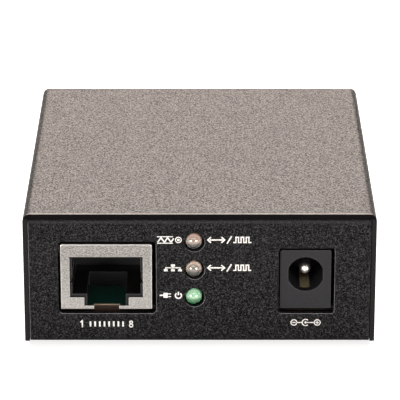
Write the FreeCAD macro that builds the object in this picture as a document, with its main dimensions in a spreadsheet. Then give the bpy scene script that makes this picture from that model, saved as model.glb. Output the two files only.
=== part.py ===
import FreeCAD
import Part
import math
import os
import re

import Sketcher

# A small network media converter in a folded steel case. Lengths are millimetres.
# Case frame: across from the middle, back from the front wall's outer face, up from the case's underside.
# The row frame has its origin under the middle of the whole object, so each body is placed from there.

SIZES = {
    # Folded steel case: a base with front and rear walls, and a cover that makes the top and sides
    "case_width": 61.5,
    "case_depth": 67.8,
    "case_height": 24.1,
    "sheet_gauge": 0.8,
    "seam_gap": 0.12,
    "cover_bend": 1.3,
    "base_bend": 1.0,
    "lip_bend": 1.3,
    "lip_depth": 3.0,
    "corner_round": 0.5,
    "wall_corner_clip": 0.3,
    # Cooling slots in both sides of the cover
    "vent_width": 1.6,
    "vent_height": 9.0,
    "vent_pitch": 5.0,
    "vent_level": 12.2,
    # Upturned tabs of the base and the flush screws that hold the cover to them
    "tab_width": 9.0,
    "tab_height": 14.0,
    "tab_inset": 10.0,
    "relief_width": 1.0,
    "relief_depth": 1.8,
    "cover_screw_level": 9.6,
    "cover_hole_radius": 1.4,
    "countersink": 0.7,
    "thread_radius": 1.25,
    "thread_gap": 0.05,
    "head_gap": 0.04,
    "cover_screw_length": 4.0,
    "cross_reach": 0.95,
    "cross_width": 0.4,
    "cross_depth": 0.5,
    # Round rubber feet stuck under the base
    "foot_radius": 4.0,
    "foot_height": 1.2,
    "foot_chamfer": 0.3,
    "foot_side_inset": 7.2,
    "foot_end_inset": 9.0,
    # Circuit board on four swaged standoffs
    "board_thickness": 1.6,
    "board_side_gap": 1.5,
    "board_front": 1.9,
    "board_rear_gap": 1.6,
    "board_shift": 0.18,
    "board_hole_gap": 0.2,
    "standoff_height": 3.85,
    "standoff_flats": 4.8,
    "spigot_radius": 2.1,
    "spigot_gap": 0.03,
    "standoff_inset": 3.3,
    "standoff_lan_gap": 5.5,
    "standoff_power_gap": 4.15,
    "standoff_rear": 3.5,
    "board_screw_head": 2.4,
    "board_screw_head_height": 1.5,
    "board_screw_length": 4.2,
    # Shielded LAN socket, its hole set to the left of midway between the lamps and the side wall
    "lan_place": 0.735,
    "lan_recess": 0.2,
    "lan_width": 16.12,
    "lan_height": 12.2,
    "lan_depth": 21.3,
    "lan_side_gap": 0.48,
    "lan_over_gap": 0.55,
    "lan_under_gap": 0.8,
    "lan_hole_corner": 0.75,
    "shield_gauge": 0.25,
    "shield_bend": 0.4,
    "shield_side_bend": 0.3,
    "lan_fit": 0.05,
    "mouth_width": 12.83,
    "mouth_top_frame": 2.37,
    "shoulder_height": 2.15,
    "key_width": 7.8,
    "key_step": 0.57,
    "key_slot_width": 4.42,
    "cavity_width": 12.0,
    "cavity_top_frame": 2.6,
    "cavity_shoulder": 2.7,
    "cavity_depth": 13.6,
    "cavity_key_width": 6.8,
    "cavity_key_depth": 10.1,
    "side_spring_level": 4.9,
    "side_spring_height": 1.9,
    "side_spring_length": 6.5,
    "side_spring_crown": 2.6,
    "side_spring_bulge": 0.45,
    "shield_post_width": 1.6,
    "shield_post_back": 9.0,
    "shield_post_lap": 1.0,
    "wire_width": 0.45,
    "wire_gauge": 0.3,
    "wire_pitch": 1.02,
    "wire_roof_frame": 1.2,
    "wire_bend_back": 4.2,
    "wire_tip_back": 11.5,
    "wire_tip_drop": 3.7,
    "wire_tail_back": 15.6,
    "wire_tail_stagger": 2.2,
    "wire_channel_start": 1.2,
    "wire_room": 0.4,
    "tail_length": 1.0,
    "tail_hole_gap": 0.15,
    # Round power socket, its hole set to the right of midway between the lamps and the side wall
    "power_place": 4.165,
    "power_recess": 0.65,
    "power_width": 8.9,
    "power_height": 10.9,
    "power_depth": 14.2,
    "power_side_gap": 0.42,
    "power_over_gap": 0.6,
    "power_under_gap": 0.8,
    "power_hole_corner": 0.5,
    "power_round": 0.3,
    "power_level": 6.4,
    "power_bore_radius": 3.2,
    "power_bore_flat": 3.05,
    "power_bore_depth": 10.5,
    "pin_radius": 1.0,
    "pin_back": 2.0,
    "pin_shank_radius": 0.75,
    "pin_hole_gap": 0.03,
    "rivet_radius": 1.5,
    "rivet_height": 0.5,
    "terminal_gauge": 0.4,
    "terminal_width": 2.4,
    "terminal_margin": 0.6,
    "spring_width": 1.7,
    "spring_gauge": 0.35,
    "spring_channel_gap": 0.1,
    "spring_channel_depth": 0.95,
    "spring_channel_start": 1.6,
    "spring_crown_back": 3.7,
    "spring_rise": 0.45,
    "spring_wall": 0.6,
    # Column of three lamps in an upright holder
    "led_place": 0.88,
    "led_radius": 1.5,
    "led_proud": 0.4,
    "led_length": 5.3,
    "led_flange_radius": 1.9,
    "led_flange": 1.0,
    "led_first_level": 8.5,
    "led_pitch": 5.2,
    "led_hole_gap": 0.26,
    "led_bore_gap": 0.05,
    "led_holder_width": 5.2,
    "led_holder_lip_gap": 0.2,
    "led_holder_depth": 5.4,
    "led_holder_cap": 2.3,
    "led_lead_width": 0.5,
    "led_lead_spacing": 2.54,
    "led_lead_gap": 0.6,
    "led_lead_step": 1.5,
    # Cage of the pluggable fibre module, from the rear wall to the clear room behind the lamps
    "cage_place": 5.0,
    "cage_width": 14.25,
    "cage_height": 9.75,
    "cage_room": 19.8,
    "cage_proud": 0.4,
    "cage_gauge": 0.3,
    "cage_corner": 0.4,
    "cage_window": 10.5,
    "cage_window_frame": 0.2,
    "cage_pin_width": 0.9,
    "cage_pin_start": 4.0,
    "cage_pin_end": 8.4,
    "cage_vent_radius": 0.9,
    "cage_vent_pitch": 6.0,
    "cage_vent_start": 14.0,
    "latch_hole": 2.6,
    "latch_hole_back": 4.0,
    "collar_gauge": 0.2,
    "collar_inside": 1.3,
    "collar_gap": 0.25,
    "finger_width": 2.2,
    "finger_pitch": 3.2,
    "finger_length": 5.0,
    "finger_rise": 0.55,
    # Card-edge connector at the inner end of the cage
    "connector_width": 12.6,
    "connector_height": 5.6,
    "connector_depth": 8.2,
    "connector_back_gap": 0.6,
    "card_slot_width": 10.4,
    "card_slot_height": 1.9,
    "card_slot_level": 2.6,
    "card_slot_depth": 5.0,
    "card_contact_width": 0.4,
    "card_contact_gauge": 0.25,
    "card_contact_pitch": 0.8,
    "card_contact_length": 4.0,
    # Parts soldered to the board in two columns, left and right of the cage, each a gap behind the last
    "part_gap": 0.7,
    "column_gap": 2.7,
    "power_column": 12.3,
    "lead_gauge": 0.2,
    "lead_reach": 1.1,
    "lead_knee": 0.5,
    "chip_lift": 0.15,
    "transformer_gap": 1.0,
    "transformer_width": 12.0,
    "transformer_depth": 8.0,
    "transformer_height": 5.6,
    "transformer_lead_width": 0.5,
    "transformer_pitch": 1.27,
    "crystal_width": 5.0,
    "crystal_depth": 3.2,
    "crystal_height": 1.3,
    "crystal_corner": 0.4,
    "converter_width": 14.0,
    "converter_height": 1.5,
    "converter_corner": 0.8,
    "converter_lead_width": 0.35,
    "converter_pitch": 1.0,
    "regulator_gap": 2.7,
    "regulator_width": 6.5,
    "regulator_depth": 3.6,
    "regulator_height": 1.6,
    "regulator_pitch": 2.3,
    "regulator_lead_width": 0.7,
    "memory_width": 5.0,
    "memory_depth": 4.0,
    "memory_height": 1.5,
    "inductor_width": 6.0,
    "inductor_corner": 1.2,
    "inductor_core_height": 3.0,
    "inductor_height": 3.8,
    "inductor_cap_radius": 2.4,
    "capacitor_pitch": 6.1,
    "capacitor_radius": 2.65,
    "capacitor_height": 5.4,
    "capacitor_base_height": 1.2,
    "capacitor_chamfer": 0.4,
    "small_part_gap": 0.75,
    "small_part_length": 2.0,
    "small_part_width": 1.25,
    "small_part_height": 0.6,
    "small_part_pitch": 3.0,
    "small_part_start": 6.2,
    "small_part_end": 5.5,
}

VENT_COUNT = 5
LAMPS = ("led_power", "led_lan", "led_fibre")
LAN_WIRE_COUNT = 8
CAGE_PIN_COUNT = 3
CAGE_VENT_COUNT = 3
TOP_FINGER_COUNT = 4
SIDE_FINGER_COUNT = 2
CARD_CONTACT_COUNT = 10
TRANSFORMER_LEAD_COUNT = 8
CONVERTER_LEAD_COUNT = 11
REGULATOR_LEAD_COUNT = 3
MEMORY_LEAD_COUNT = 4
CAPACITOR_COUNT = 2

# Two edges or faces this near to each other are taken as one, and a cut takes away more than this
CLOSE = 1e-4

# Lengths and places that follow from the sizes above
WORKED_OUT = {
    "front_wall": "-(case_depth + cage_proud - led_proud) / 2",
    "inner_side": "case_width / 2 - sheet_gauge",
    "tray_side": "inner_side - seam_gap",
    "tray_top": "case_height - sheet_gauge - seam_gap",
    "board_under": "sheet_gauge + standoff_height",
    "board_top": "board_under + board_thickness",
    "board_side": "inner_side - board_side_gap",
    "board_back": "case_depth - board_rear_gap",
    "tail_end": "board_under - tail_length",
    "lan_hole_mid": "-(led_place + inner_side) / 2 - lan_place",
    "lan_mid": "lan_hole_mid - board_shift",
    "lan_half": "lan_width / 2",
    "lan_top": "board_top + lan_height",
    "lan_back": "lan_recess + lan_depth",
    "lan_block_half": "lan_half - shield_gauge - lan_fit",
    "lan_block_top": "lan_top - shield_gauge - lan_fit",
    "lan_block_front": "lan_recess + shield_gauge + lan_fit",
    "lan_block_back": "lan_back - shield_gauge - lan_fit",
    "mouth_top": "lan_top - mouth_top_frame",
    "mouth_shoulder": "board_top + shoulder_height",
    "cavity_top": "lan_top - cavity_top_frame",
    "cavity_floor": "board_top + cavity_shoulder",
    "wire_row_half": f"wire_pitch * {LAN_WIRE_COUNT / 2} + wire_width / 2",
    "wire_room_back": "wire_tail_back + wire_tail_stagger + wire_gauge + wire_room",
    "side_spring_room": "max(mouth_width; cavity_width) / 2 + shield_gauge + lan_fit * 2",
    "wire_roof": "lan_top - wire_roof_frame",
    "power_hole_mid": "(inner_side - led_place) / 2 + power_place",
    "power_mid": "power_hole_mid - board_shift",
    "power_half": "power_width / 2",
    "power_top": "board_top + power_height",
    "power_axis": "board_top + power_level",
    "power_back": "power_recess + power_depth",
    "power_floor": "power_recess + power_bore_depth",
    "power_chord": "sqrt(power_bore_radius ^ 2 - power_bore_flat ^ 2)",
    "spring_half": "spring_width / 2",
    "spring_low": "power_axis - power_bore_radius - spring_channel_depth",
    "spring_top": "power_axis - power_bore_radius + spring_rise",
    "spring_start": "power_recess + spring_channel_start",
    "spring_tail": "power_floor + spring_wall",
    "terminal_back": "power_back + terminal_gauge",
    "led_mid": "-led_place - board_shift",
    "led_top_level": f"led_first_level + led_pitch * {len(LAMPS) - 1}",
    "led_base": "led_length - led_proud",
    "led_holder_front": "lip_depth + led_holder_lip_gap",
    "led_holder_back": "led_holder_front + led_holder_depth",
    "cage_mid": "cage_place - board_shift",
    "cage_half": "cage_width / 2",
    "cage_mouth": "case_depth + cage_proud",
    "cage_end": "cage_room",
    "cage_pin_pitch": f"(cage_mouth - cage_end - cage_pin_start - cage_pin_end) / {CAGE_PIN_COUNT - 1}",
    "cage_top": "board_top + cage_height",
    "connector_back": "cage_end + cage_gauge + connector_back_gap",
    "card_slot_low": "board_top + card_slot_level",
    "rear_wall": "case_depth - sheet_gauge",
    "port_side": "cage_half + collar_gauge + collar_gap",
    "collar_back": "case_depth - collar_inside",
    "finger_start": "collar_back - finger_length",
    "left_column": "cage_mid - cage_half - column_gap",
    "right_column": "cage_mid + power_column",
    "transformer_mid": "left_column - transformer_width / 2",
    "transformer_back": "lan_back + transformer_gap + lead_reach + transformer_depth / 2",
    "crystal_back": "transformer_back + transformer_depth / 2 + lead_reach + part_gap + crystal_depth / 2",
    "converter_mid": "left_column - lead_reach - converter_width / 2",
    "converter_back": "crystal_back + crystal_depth / 2 + part_gap + lead_reach + converter_width / 2",
    "regulator_back": "standoff_front_right + regulator_gap + lead_reach + regulator_depth / 2",
    "memory_back": "regulator_back + regulator_depth / 2 + part_gap + lead_reach * 2 + memory_depth / 2",
    "inductor_back": "memory_back + memory_depth / 2 + lead_reach + part_gap + inductor_width / 2",
    "capacitor_back": "inductor_back + inductor_width / 2 + part_gap + capacitor_radius",
    "small_part_left": "cage_mid - cage_half - small_part_gap - small_part_width",
    "small_part_back": "cage_end + small_part_start",
    "standoff_front_left": "lan_back + standoff_lan_gap",
    "standoff_front_right": "terminal_back + rivet_height + standoff_power_gap",
}

doc = FreeCAD.newDocument("MediaConverter")
sheet = doc.addObject("Spreadsheet::Sheet", "Sizes")
for row, (name, size) in enumerate(SIZES.items(), start=1):
    sheet.set(f"A{row}", str(size))
    sheet.setAlias(f"A{row}", name)
doc.recompute()


def bound(text):
    """An expression in which every size's name is its cell, and every worked-out name is its formula."""
    def term(match):
        word = match.group()
        if word in SIZES:
            return "Sizes." + word
        if word in WORKED_OUT:
            return "(" + bound(WORKED_OUT[word]) + ")"
        return word
    return re.sub(r"[a-z][a-z_]*", term, text)


def value(text):
    return float(sheet.evalExpression(bound(text)))


def new_body(label, centre=("0", "0", "0")):
    """An empty body whose own origin lies at centre in the case frame."""
    body = doc.addObject("PartDesign::Body", label)
    body.Label = label
    body.AllowCompound = True
    body.setExpression("Placement.Base.x", bound(centre[0]))
    body.setExpression("Placement.Base.y", bound(f"front_wall + {centre[1]}"))
    body.setExpression("Placement.Base.z", bound(f"foot_height + {centre[2]}"))
    return body


def sketch_on(body, plane, name, across="0", up="0", along="0"):
    """A sketch parallel to an origin plane, its own origin moved across, up and along the third row axis."""
    drawn = body.newObject("Sketcher::SketchObject", name)
    face = next(f for f in body.Origin.OriginFeatures if f.Role == plane + "_Plane")
    drawn.AttachmentSupport = [(face, "")]
    drawn.MapMode = "FlatFace"
    drawn.setExpression("AttachmentOffset.Base.x", bound(across))
    drawn.setExpression("AttachmentOffset.Base.y", bound(up))
    normal = f"-({along})" if plane == "XZ" else along
    drawn.setExpression("AttachmentOffset.Base.z", bound(normal))
    return drawn


def pin_down(drawn, element, point, across, up):
    """Binds one point of a sketch to its distances from the sketch's origin."""
    for kind, text in (("DistanceX", across), ("DistanceY", up)):
        if text is not None:
            number = drawn.addConstraint(Sketcher.Constraint(kind, -1, 1, element, point, value(text)))
            drawn.setExpression(f"Constraints[{number}]", bound(text))


def outline(drawn, corners):
    """A closed outline, anticlockwise. A corner is (across, up), then the centre of any arc that leaves it."""
    first = drawn.GeometryCount
    count = len(corners)
    spots = [FreeCAD.Vector(value(c[0]), value(c[1]), 0) for c in corners]
    for index, corner in enumerate(corners):
        start = spots[index]
        end = spots[(index + 1) % count]
        if len(corner) == 2:
            drawn.addGeometry(Part.LineSegment(start, end), False)
            continue
        centre = FreeCAD.Vector(value(corner[2]), value(corner[3]), 0)
        circle = Part.Circle(centre, FreeCAD.Vector(0, 0, 1), (start - centre).Length)
        begin = math.atan2(start.y - centre.y, start.x - centre.x)
        finish = math.atan2(end.y - centre.y, end.x - centre.x)
        if finish <= begin:
            finish += 2 * math.pi
        drawn.addGeometry(Part.ArcOfCircle(circle, begin, finish), False)
    for index in range(count):
        drawn.addConstraint(Sketcher.Constraint("Coincident", first + index, 2, first + (index + 1) % count, 1))
    for index, corner in enumerate(corners):
        pin_down(drawn, first + index, 1, corner[0], corner[1])
        if len(corner) == 4:
            chord = spots[(index + 1) % count] - spots[index]
            upright = abs(chord.y) >= abs(chord.x)
            pin_down(drawn, first + index, 3, corner[2] if upright else None, None if upright else corner[3])


def rectangle(drawn, left, low, right, high):
    outline(drawn, [(left, low), (right, low), (right, high), (left, high)])


def circle(drawn, across, up, radius):
    place = FreeCAD.Vector(value(across), value(up), 0)
    ring = drawn.addGeometry(Part.Circle(place, FreeCAD.Vector(0, 0, 1), value(radius)), False)
    pin_down(drawn, ring, 3, across, up)
    number = drawn.addConstraint(Sketcher.Constraint("Radius", ring, value(radius)))
    drawn.setExpression(f"Constraints[{number}]", bound(radius))


def obround(drawn, across, up, half_length, radius):
    """An upright slot with round ends."""
    outline(drawn, [
        (f"{across} + {radius}", f"{up} - {half_length}"),
        (f"{across} + {radius}", f"{up} + {half_length}", across, f"{up} + {half_length}"),
        (f"{across} - {radius}", f"{up} + {half_length}"),
        (f"{across} - {radius}", f"{up} - {half_length}", across, f"{up} - {half_length}"),
    ])


def hexagon(drawn, across, up, flats):
    """Six corners, with two of the flats facing up and down the sketch."""
    corner = f"{flats} / sqrt(3)"
    outline(drawn, [
        (f"{across} + {corner}", up), (f"{across} + {corner} / 2", f"{up} + {flats} / 2"),
        (f"{across} - {corner} / 2", f"{up} + {flats} / 2"), (f"{across} - {corner}", up),
        (f"{across} - {corner} / 2", f"{up} - {flats} / 2"),
        (f"{across} + {corner} / 2", f"{up} - {flats} / 2"),
    ])


def cross(drawn, across, up):
    """The outline of a screw's cross recess."""
    half = "cross_width / 2"
    turns = [(half, "cross_reach"), (half, half), ("cross_reach", half)]
    corners = []
    for right, high, order in (("+", "-", 1), ("+", "+", -1), ("-", "+", 1), ("-", "-", -1)):
        corners += [(f"{across} {right} {x}", f"{up} {high} {z}") for x, z in turns[::order]]
    outline(drawn, corners)


def extrude(body, kind, drawn, length):
    """A pad or a pocket from a sketch towards plus along the sketch plane's third axis."""
    faces_minus = drawn.AttachmentSupport[0][0].Role == "XZ_Plane"
    feature = body.newObject("PartDesign::" + kind, drawn.Name + "_" + kind.lower())
    feature.Profile = drawn
    feature.setExpression("Length", bound(length))
    feature.Reversed = faces_minus if kind == "Pad" else not faces_minus
    drawn.Visibility = False
    return feature


def pad(body, drawn, length):
    return extrude(body, "Pad", drawn, length)


def pocket(body, drawn, length):
    """A pocket that is checked to have taken material away."""
    doc.recompute()
    before = body.Shape.Volume
    feature = extrude(body, "Pocket", drawn, length)
    doc.recompute()
    if before - body.Shape.Volume < CLOSE:
        raise RuntimeError(f"{feature.Name} cuts nothing")
    return feature


def turned(body, name, axis, centre, corners):
    """A solid of revolution: corners are (out from the axis, along it), from centre in the body's frame."""
    x, y, z = centre
    plane, across, up, along = {"Z": ("XZ", x, z, y), "Y": ("XY", x, y, z), "X": ("XY", x, y, z)}[axis]
    drawn = sketch_on(body, plane, name, across, up, along)
    if axis == "X":
        corners = [tuple(text for pair in zip(c[1::2], c[0::2]) for text in pair) for c in corners]
    outline(drawn, corners)
    feature = body.newObject("PartDesign::Revolution", name + "_turned")
    feature.Profile = drawn
    feature.ReferenceAxis = (drawn, ["H_Axis" if axis == "X" else "V_Axis"])
    feature.Angle = 360
    return feature


def edges_where(shape, along, test):
    """Names of a shape's straight edges that run along a row axis and whose middle passes a test."""
    names = []
    for number, edge in enumerate(shape.Edges, start=1):
        if edge.Curve.TypeId != "Part::GeomLine":
            continue
        run = edge.tangentAt(edge.FirstParameter)
        if abs(getattr(run, along)) > 1 - CLOSE and test(edge.CenterOfMass):
            names.append(f"Edge{number}")
    return names


def round_edges(body, name, radius, along, test):
    """Rounds the edges of the body's tip that run along one axis and pass a test, in the body's own frame."""
    doc.recompute()
    tip = body.Tip
    names = edges_where(tip.Shape, along, test)
    if not names:
        raise RuntimeError(f"{name} finds no edge")
    feature = body.newObject("PartDesign::Fillet", name)
    feature.Base = (tip, names)
    feature.setExpression("Radius", bound(radius))
    doc.recompute()
    return feature


def near(number, text):
    return abs(number - value(text)) < CLOSE


def origin_axis(body, letter):
    return next(f for f in body.Origin.OriginFeatures if f.Role == letter + "_Axis")


def row_of(body, name, features, letter, pitch, count):
    """A linear pattern along one of the body's axes."""
    feature = body.newObject("PartDesign::LinearPattern", name)
    feature.Originals = features
    feature.Direction = (origin_axis(body, letter), [""])
    feature.setExpression("Length", bound(f"({pitch}) * {count - 1}"))
    feature.Occurrences = count
    body.Tip = feature
    return feature


def rows_round(body, name, features, letter, pitch, count, turns):
    """A linear pattern that is repeated round the body's upright axis."""
    multi = body.newObject("PartDesign::MultiTransform", name)
    multi.Originals = features
    line = doc.addObject("PartDesign::LinearPattern", name + "_line")
    body.addObject(line)
    line.Direction = (origin_axis(body, letter), [""])
    line.setExpression("Length", bound(f"({pitch}) * {count - 1}"))
    line.Occurrences = count
    ring = doc.addObject("PartDesign::PolarPattern", name + "_ring")
    body.addObject(ring)
    ring.Axis = (origin_axis(body, "Z"), [""])
    ring.Angle = 360
    ring.Occurrences = turns
    multi.Transformations = [line, ring]
    body.Tip = multi
    return multi


def mirror_sides(body, name, features):
    """The same features on the other side of the body's own YZ plane."""
    feature = body.newObject("PartDesign::Mirrored", name)
    feature.Originals = features
    feature.MirrorPlane = (next(f for f in body.Origin.OriginFeatures if f.Role == "YZ_Plane"), [""])
    body.Tip = feature
    return feature


def make_top_cover():
    """One folded sheet: the top and both sides, with slots and countersunk holes in the sides."""
    body = new_body("top_cover")
    section = sketch_on(body, "XZ", "cover_section")
    outline(section, [
        ("-case_width / 2", "0"), ("-inner_side", "0"),
        ("-inner_side", "case_height - sheet_gauge"), ("inner_side", "case_height - sheet_gauge"),
        ("inner_side", "0"), ("case_width / 2", "0"),
        ("case_width / 2", "case_height"), ("-case_width / 2", "case_height"),
    ])
    pad(body, section, "case_depth")
    round_edges(body, "cover_outer_bends", "cover_bend", "y", lambda p: near(p.z, "case_height"))
    round_edges(body, "cover_inner_bends", "cover_bend - sheet_gauge", "y",
                lambda p: near(p.z, "case_height - sheet_gauge"))
    round_edges(body, "cover_corners", "corner_round", "x", lambda p: near(p.z, "0"))
    slot = sketch_on(body, "YZ", "cover_vent", along="-case_width / 2")
    first = f"case_depth / 2 - vent_pitch * {(VENT_COUNT - 1) / 2}"
    obround(slot, first, "vent_level", "(vent_height - vent_width) / 2", "vent_width / 2")
    row_of(body, "cover_vents", [pocket(body, slot, "case_width")], "Y", "vent_pitch", VENT_COUNT)
    holes = sketch_on(body, "YZ", "cover_screw_holes", along="-case_width / 2")
    for back in ("tab_inset", "case_depth - tab_inset"):
        circle(holes, back, "cover_screw_level", "cover_hole_radius")
    pocket(body, holes, "case_width")
    tip = body.Tip
    rims = []
    for number, edge in enumerate(tip.Shape.Edges, start=1):
        if edge.Curve.TypeId == "Part::GeomCircle" and near(edge.Curve.Radius, "cover_hole_radius"):
            if near(abs(edge.CenterOfMass.x), "case_width / 2"):
                rims.append(f"Edge{number}")
    sinks = body.newObject("PartDesign::Chamfer", "cover_countersinks")
    sinks.Base = (tip, rims)
    sinks.setExpression("Size", bound("countersink"))
    return body


def make_base_chassis():
    """One folded sheet: floor, front and rear walls with their turned-back lips, and four side tabs."""
    body = new_body("base_chassis")
    section = sketch_on(body, "YZ", "base_section", along="-tray_side")
    outline(section, [
        ("0", "0"), ("case_depth", "0"), ("case_depth", "tray_top"),
        ("case_depth - lip_depth", "tray_top"), ("case_depth - lip_depth", "tray_top - sheet_gauge"),
        ("rear_wall", "tray_top - sheet_gauge"), ("rear_wall", "sheet_gauge"),
        ("sheet_gauge", "sheet_gauge"), ("sheet_gauge", "tray_top - sheet_gauge"),
        ("lip_depth", "tray_top - sheet_gauge"), ("lip_depth", "tray_top"), ("0", "tray_top"),
    ])
    pad(body, section, "tray_side * 2")

    def at_walls(point, inset):
        return near(point.y, inset) or near(point.y, f"case_depth - {inset}")

    round_edges(body, "lip_outer_bends", "lip_bend", "x", lambda p: near(p.z, "tray_top") and at_walls(p, "0"))
    round_edges(body, "lip_inner_bends", "lip_bend - sheet_gauge", "x",
                lambda p: near(p.z, "tray_top - sheet_gauge") and at_walls(p, "sheet_gauge"))
    round_edges(body, "floor_outer_bends", "base_bend", "x", lambda p: near(p.z, "0") and at_walls(p, "0"))
    round_edges(body, "floor_inner_bends", "base_bend - sheet_gauge", "x",
                lambda p: near(p.z, "sheet_gauge") and at_walls(p, "sheet_gauge"))
    clips = sketch_on(body, "XZ", "wall_corner_clips")
    outline(clips, [("tray_side - wall_corner_clip", "tray_top"), ("tray_side", "tray_top - wall_corner_clip"),
                    ("tray_side", "tray_top")])
    outline(clips, [("-tray_side + wall_corner_clip", "tray_top"), ("-tray_side", "tray_top"),
                    ("-tray_side", "tray_top - wall_corner_clip")])
    pocket(body, clips, "case_depth")
    for side, start in (("left", "-tray_side"), ("right", "tray_side - sheet_gauge")):
        tabs = sketch_on(body, "YZ", side + "_tabs", along=start)
        for middle in ("tab_inset", "case_depth - tab_inset"):
            rectangle(tabs, f"{middle} - tab_width / 2", "0", f"{middle} + tab_width / 2", "tab_height")
        pad(body, tabs, "sheet_gauge")
    reliefs = sketch_on(body, "XY", "bend_reliefs")
    for middle in ("tab_inset", "case_depth - tab_inset"):
        for start in (f"{middle} - tab_width / 2 - relief_width", f"{middle} + tab_width / 2"):
            rectangle(reliefs, "-tray_side", start, "-tray_side + relief_depth", f"{start} + relief_width")
            rectangle(reliefs, "tray_side - relief_depth", start, "tray_side", f"{start} + relief_width")
    pocket(body, reliefs, "sheet_gauge")
    round_edges(body, "tab_outer_bends", "base_bend", "y",
                lambda p: near(p.z, "0") and near(abs(p.x), "tray_side") and
                (near(p.y, "tab_inset") or near(p.y, "case_depth - tab_inset")))
    round_edges(body, "tab_inner_bends", "base_bend - sheet_gauge", "y",
                lambda p: near(p.z, "sheet_gauge") and near(abs(p.x), "tray_side - sheet_gauge"))
    threads = sketch_on(body, "YZ", "tab_threads", along="-tray_side")
    for back in ("tab_inset", "case_depth - tab_inset"):
        circle(threads, back, "cover_screw_level", "thread_radius + thread_gap")
    pocket(body, threads, "tray_side * 2")

    sockets = sketch_on(body, "XZ", "socket_holes")
    rectangle(sockets, "lan_hole_mid - lan_half - lan_side_gap", "board_top - lan_under_gap",
              "lan_hole_mid + lan_half + lan_side_gap", "lan_top + lan_over_gap")
    rectangle(sockets, "power_hole_mid - power_half - power_side_gap", "board_top - power_under_gap",
              "power_hole_mid + power_half + power_side_gap", "power_top + power_over_gap")
    pocket(body, sockets, "sheet_gauge")

    def beside(point, middle, half):
        return near(abs(point.x - value(middle)), half) and near(point.y, "sheet_gauge / 2")

    round_edges(body, "lan_hole_corners", "lan_hole_corner", "y",
                lambda p: beside(p, "lan_hole_mid", "lan_half + lan_side_gap"))
    round_edges(body, "power_hole_corners", "power_hole_corner", "y",
                lambda p: beside(p, "power_hole_mid", "power_half + power_side_gap"))
    lamps = sketch_on(body, "XZ", "lamp_holes")
    for number in range(len(LAMPS)):
        circle(lamps, "-led_place", f"led_first_level + led_pitch * {number}", "led_radius + led_hole_gap")
    pocket(body, lamps, "lip_bend")
    port = sketch_on(body, "XZ", "port_hole", along="rear_wall")
    rectangle(port, "cage_mid - port_side", "board_top - collar_gauge - collar_gap",
              "cage_mid + port_side", "cage_top + collar_gauge + collar_gap")
    pocket(body, port, "sheet_gauge")
    seats = sketch_on(body, "XY", "standoff_holes")
    for across, back in standoff_places():
        circle(seats, across, back, "spigot_radius + spigot_gap")
    pocket(body, seats, "sheet_gauge")
    return body


def standoff_places():
    left = "-board_side + standoff_inset - board_shift"
    right = "board_side - standoff_inset - board_shift"
    return [
        (left, "standoff_front_left"), (right, "standoff_front_right"),
        (left, "board_back - standoff_rear"), (right, "board_back - standoff_rear"),
    ]


def make_standoffs_and_screws():
    """Hexagonal standoffs pressed into the floor, and the pan-head screws that hold the board on them."""
    standoffs = new_body("board_standoffs")
    hexes = sketch_on(standoffs, "XY", "standoff_hexes", along="sheet_gauge")
    spigots = sketch_on(standoffs, "XY", "standoff_spigots")
    threads = sketch_on(standoffs, "XY", "standoff_threads")
    for across, back in standoff_places():
        hexagon(hexes, across, back, "standoff_flats")
        circle(spigots, across, back, "spigot_radius")
        circle(threads, across, back, "thread_radius + thread_gap")
    pad(standoffs, hexes, "standoff_height")
    pad(standoffs, spigots, "sheet_gauge")
    pocket(standoffs, threads, "board_under")

    screws = new_body("board_screws")
    cross_floor = "board_top + board_screw_head_height - cross_depth"
    crosses = sketch_on(screws, "XY", "board_screw_crosses", along=cross_floor)
    for number, (across, back) in enumerate(standoff_places()):
        turned(screws, f"board_screw_{number}", "Z", (across, back, "board_top"), [
            ("0", "-board_screw_length"), ("thread_radius", "-board_screw_length"), ("thread_radius", "0"),
            ("board_screw_head", "0"), ("board_screw_head", "board_screw_head_height / 2"),
            ("board_screw_head - board_screw_head_height / 2", "board_screw_head_height"),
            ("0", "board_screw_head_height"),
        ])
        cross(crosses, across, back)
    pocket(screws, crosses, "cross_depth")


def make_cover_screws():
    """Flush countersunk screws, two in each side, through the cover and into the tabs."""
    body = new_body("cover_screws")
    made = []
    crosses = sketch_on(body, "YZ", "cover_screw_crosses", along="case_width / 2 - cross_depth")
    for number, back in enumerate(("tab_inset", "case_depth - tab_inset")):
        made.append(turned(body, f"cover_screw_{number}", "X", ("case_width / 2", back, "cover_screw_level"), [
            ("0", "-cover_screw_length"), ("thread_radius", "-cover_screw_length"),
            ("thread_radius", "-countersink"), ("cover_hole_radius - head_gap", "-countersink"),
            ("cover_hole_radius + countersink - head_gap", "0"), ("0", "0"),
        ]))
        cross(crosses, back, "cover_screw_level")
    mirror_sides(body, "other_side_screws", made + [pocket(body, crosses, "cross_depth")])


def make_feet():
    """Four round rubber feet, with a small chamfer round the face that they stand on."""
    body = new_body("rubber_feet")
    inset = "case_width / 2 - foot_side_inset"
    places = [(across, back) for across in (f"-({inset})", inset)
              for back in ("foot_end_inset", "case_depth - foot_end_inset")]
    for number, (across, back) in enumerate(places):
        turned(body, f"foot_{number}", "Z", (across, back, "0"), [
            ("0", "-foot_height"), ("foot_radius - foot_chamfer", "-foot_height"),
            ("foot_radius", "-foot_height + foot_chamfer"), ("foot_radius", "0"), ("0", "0"),
        ])


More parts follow.
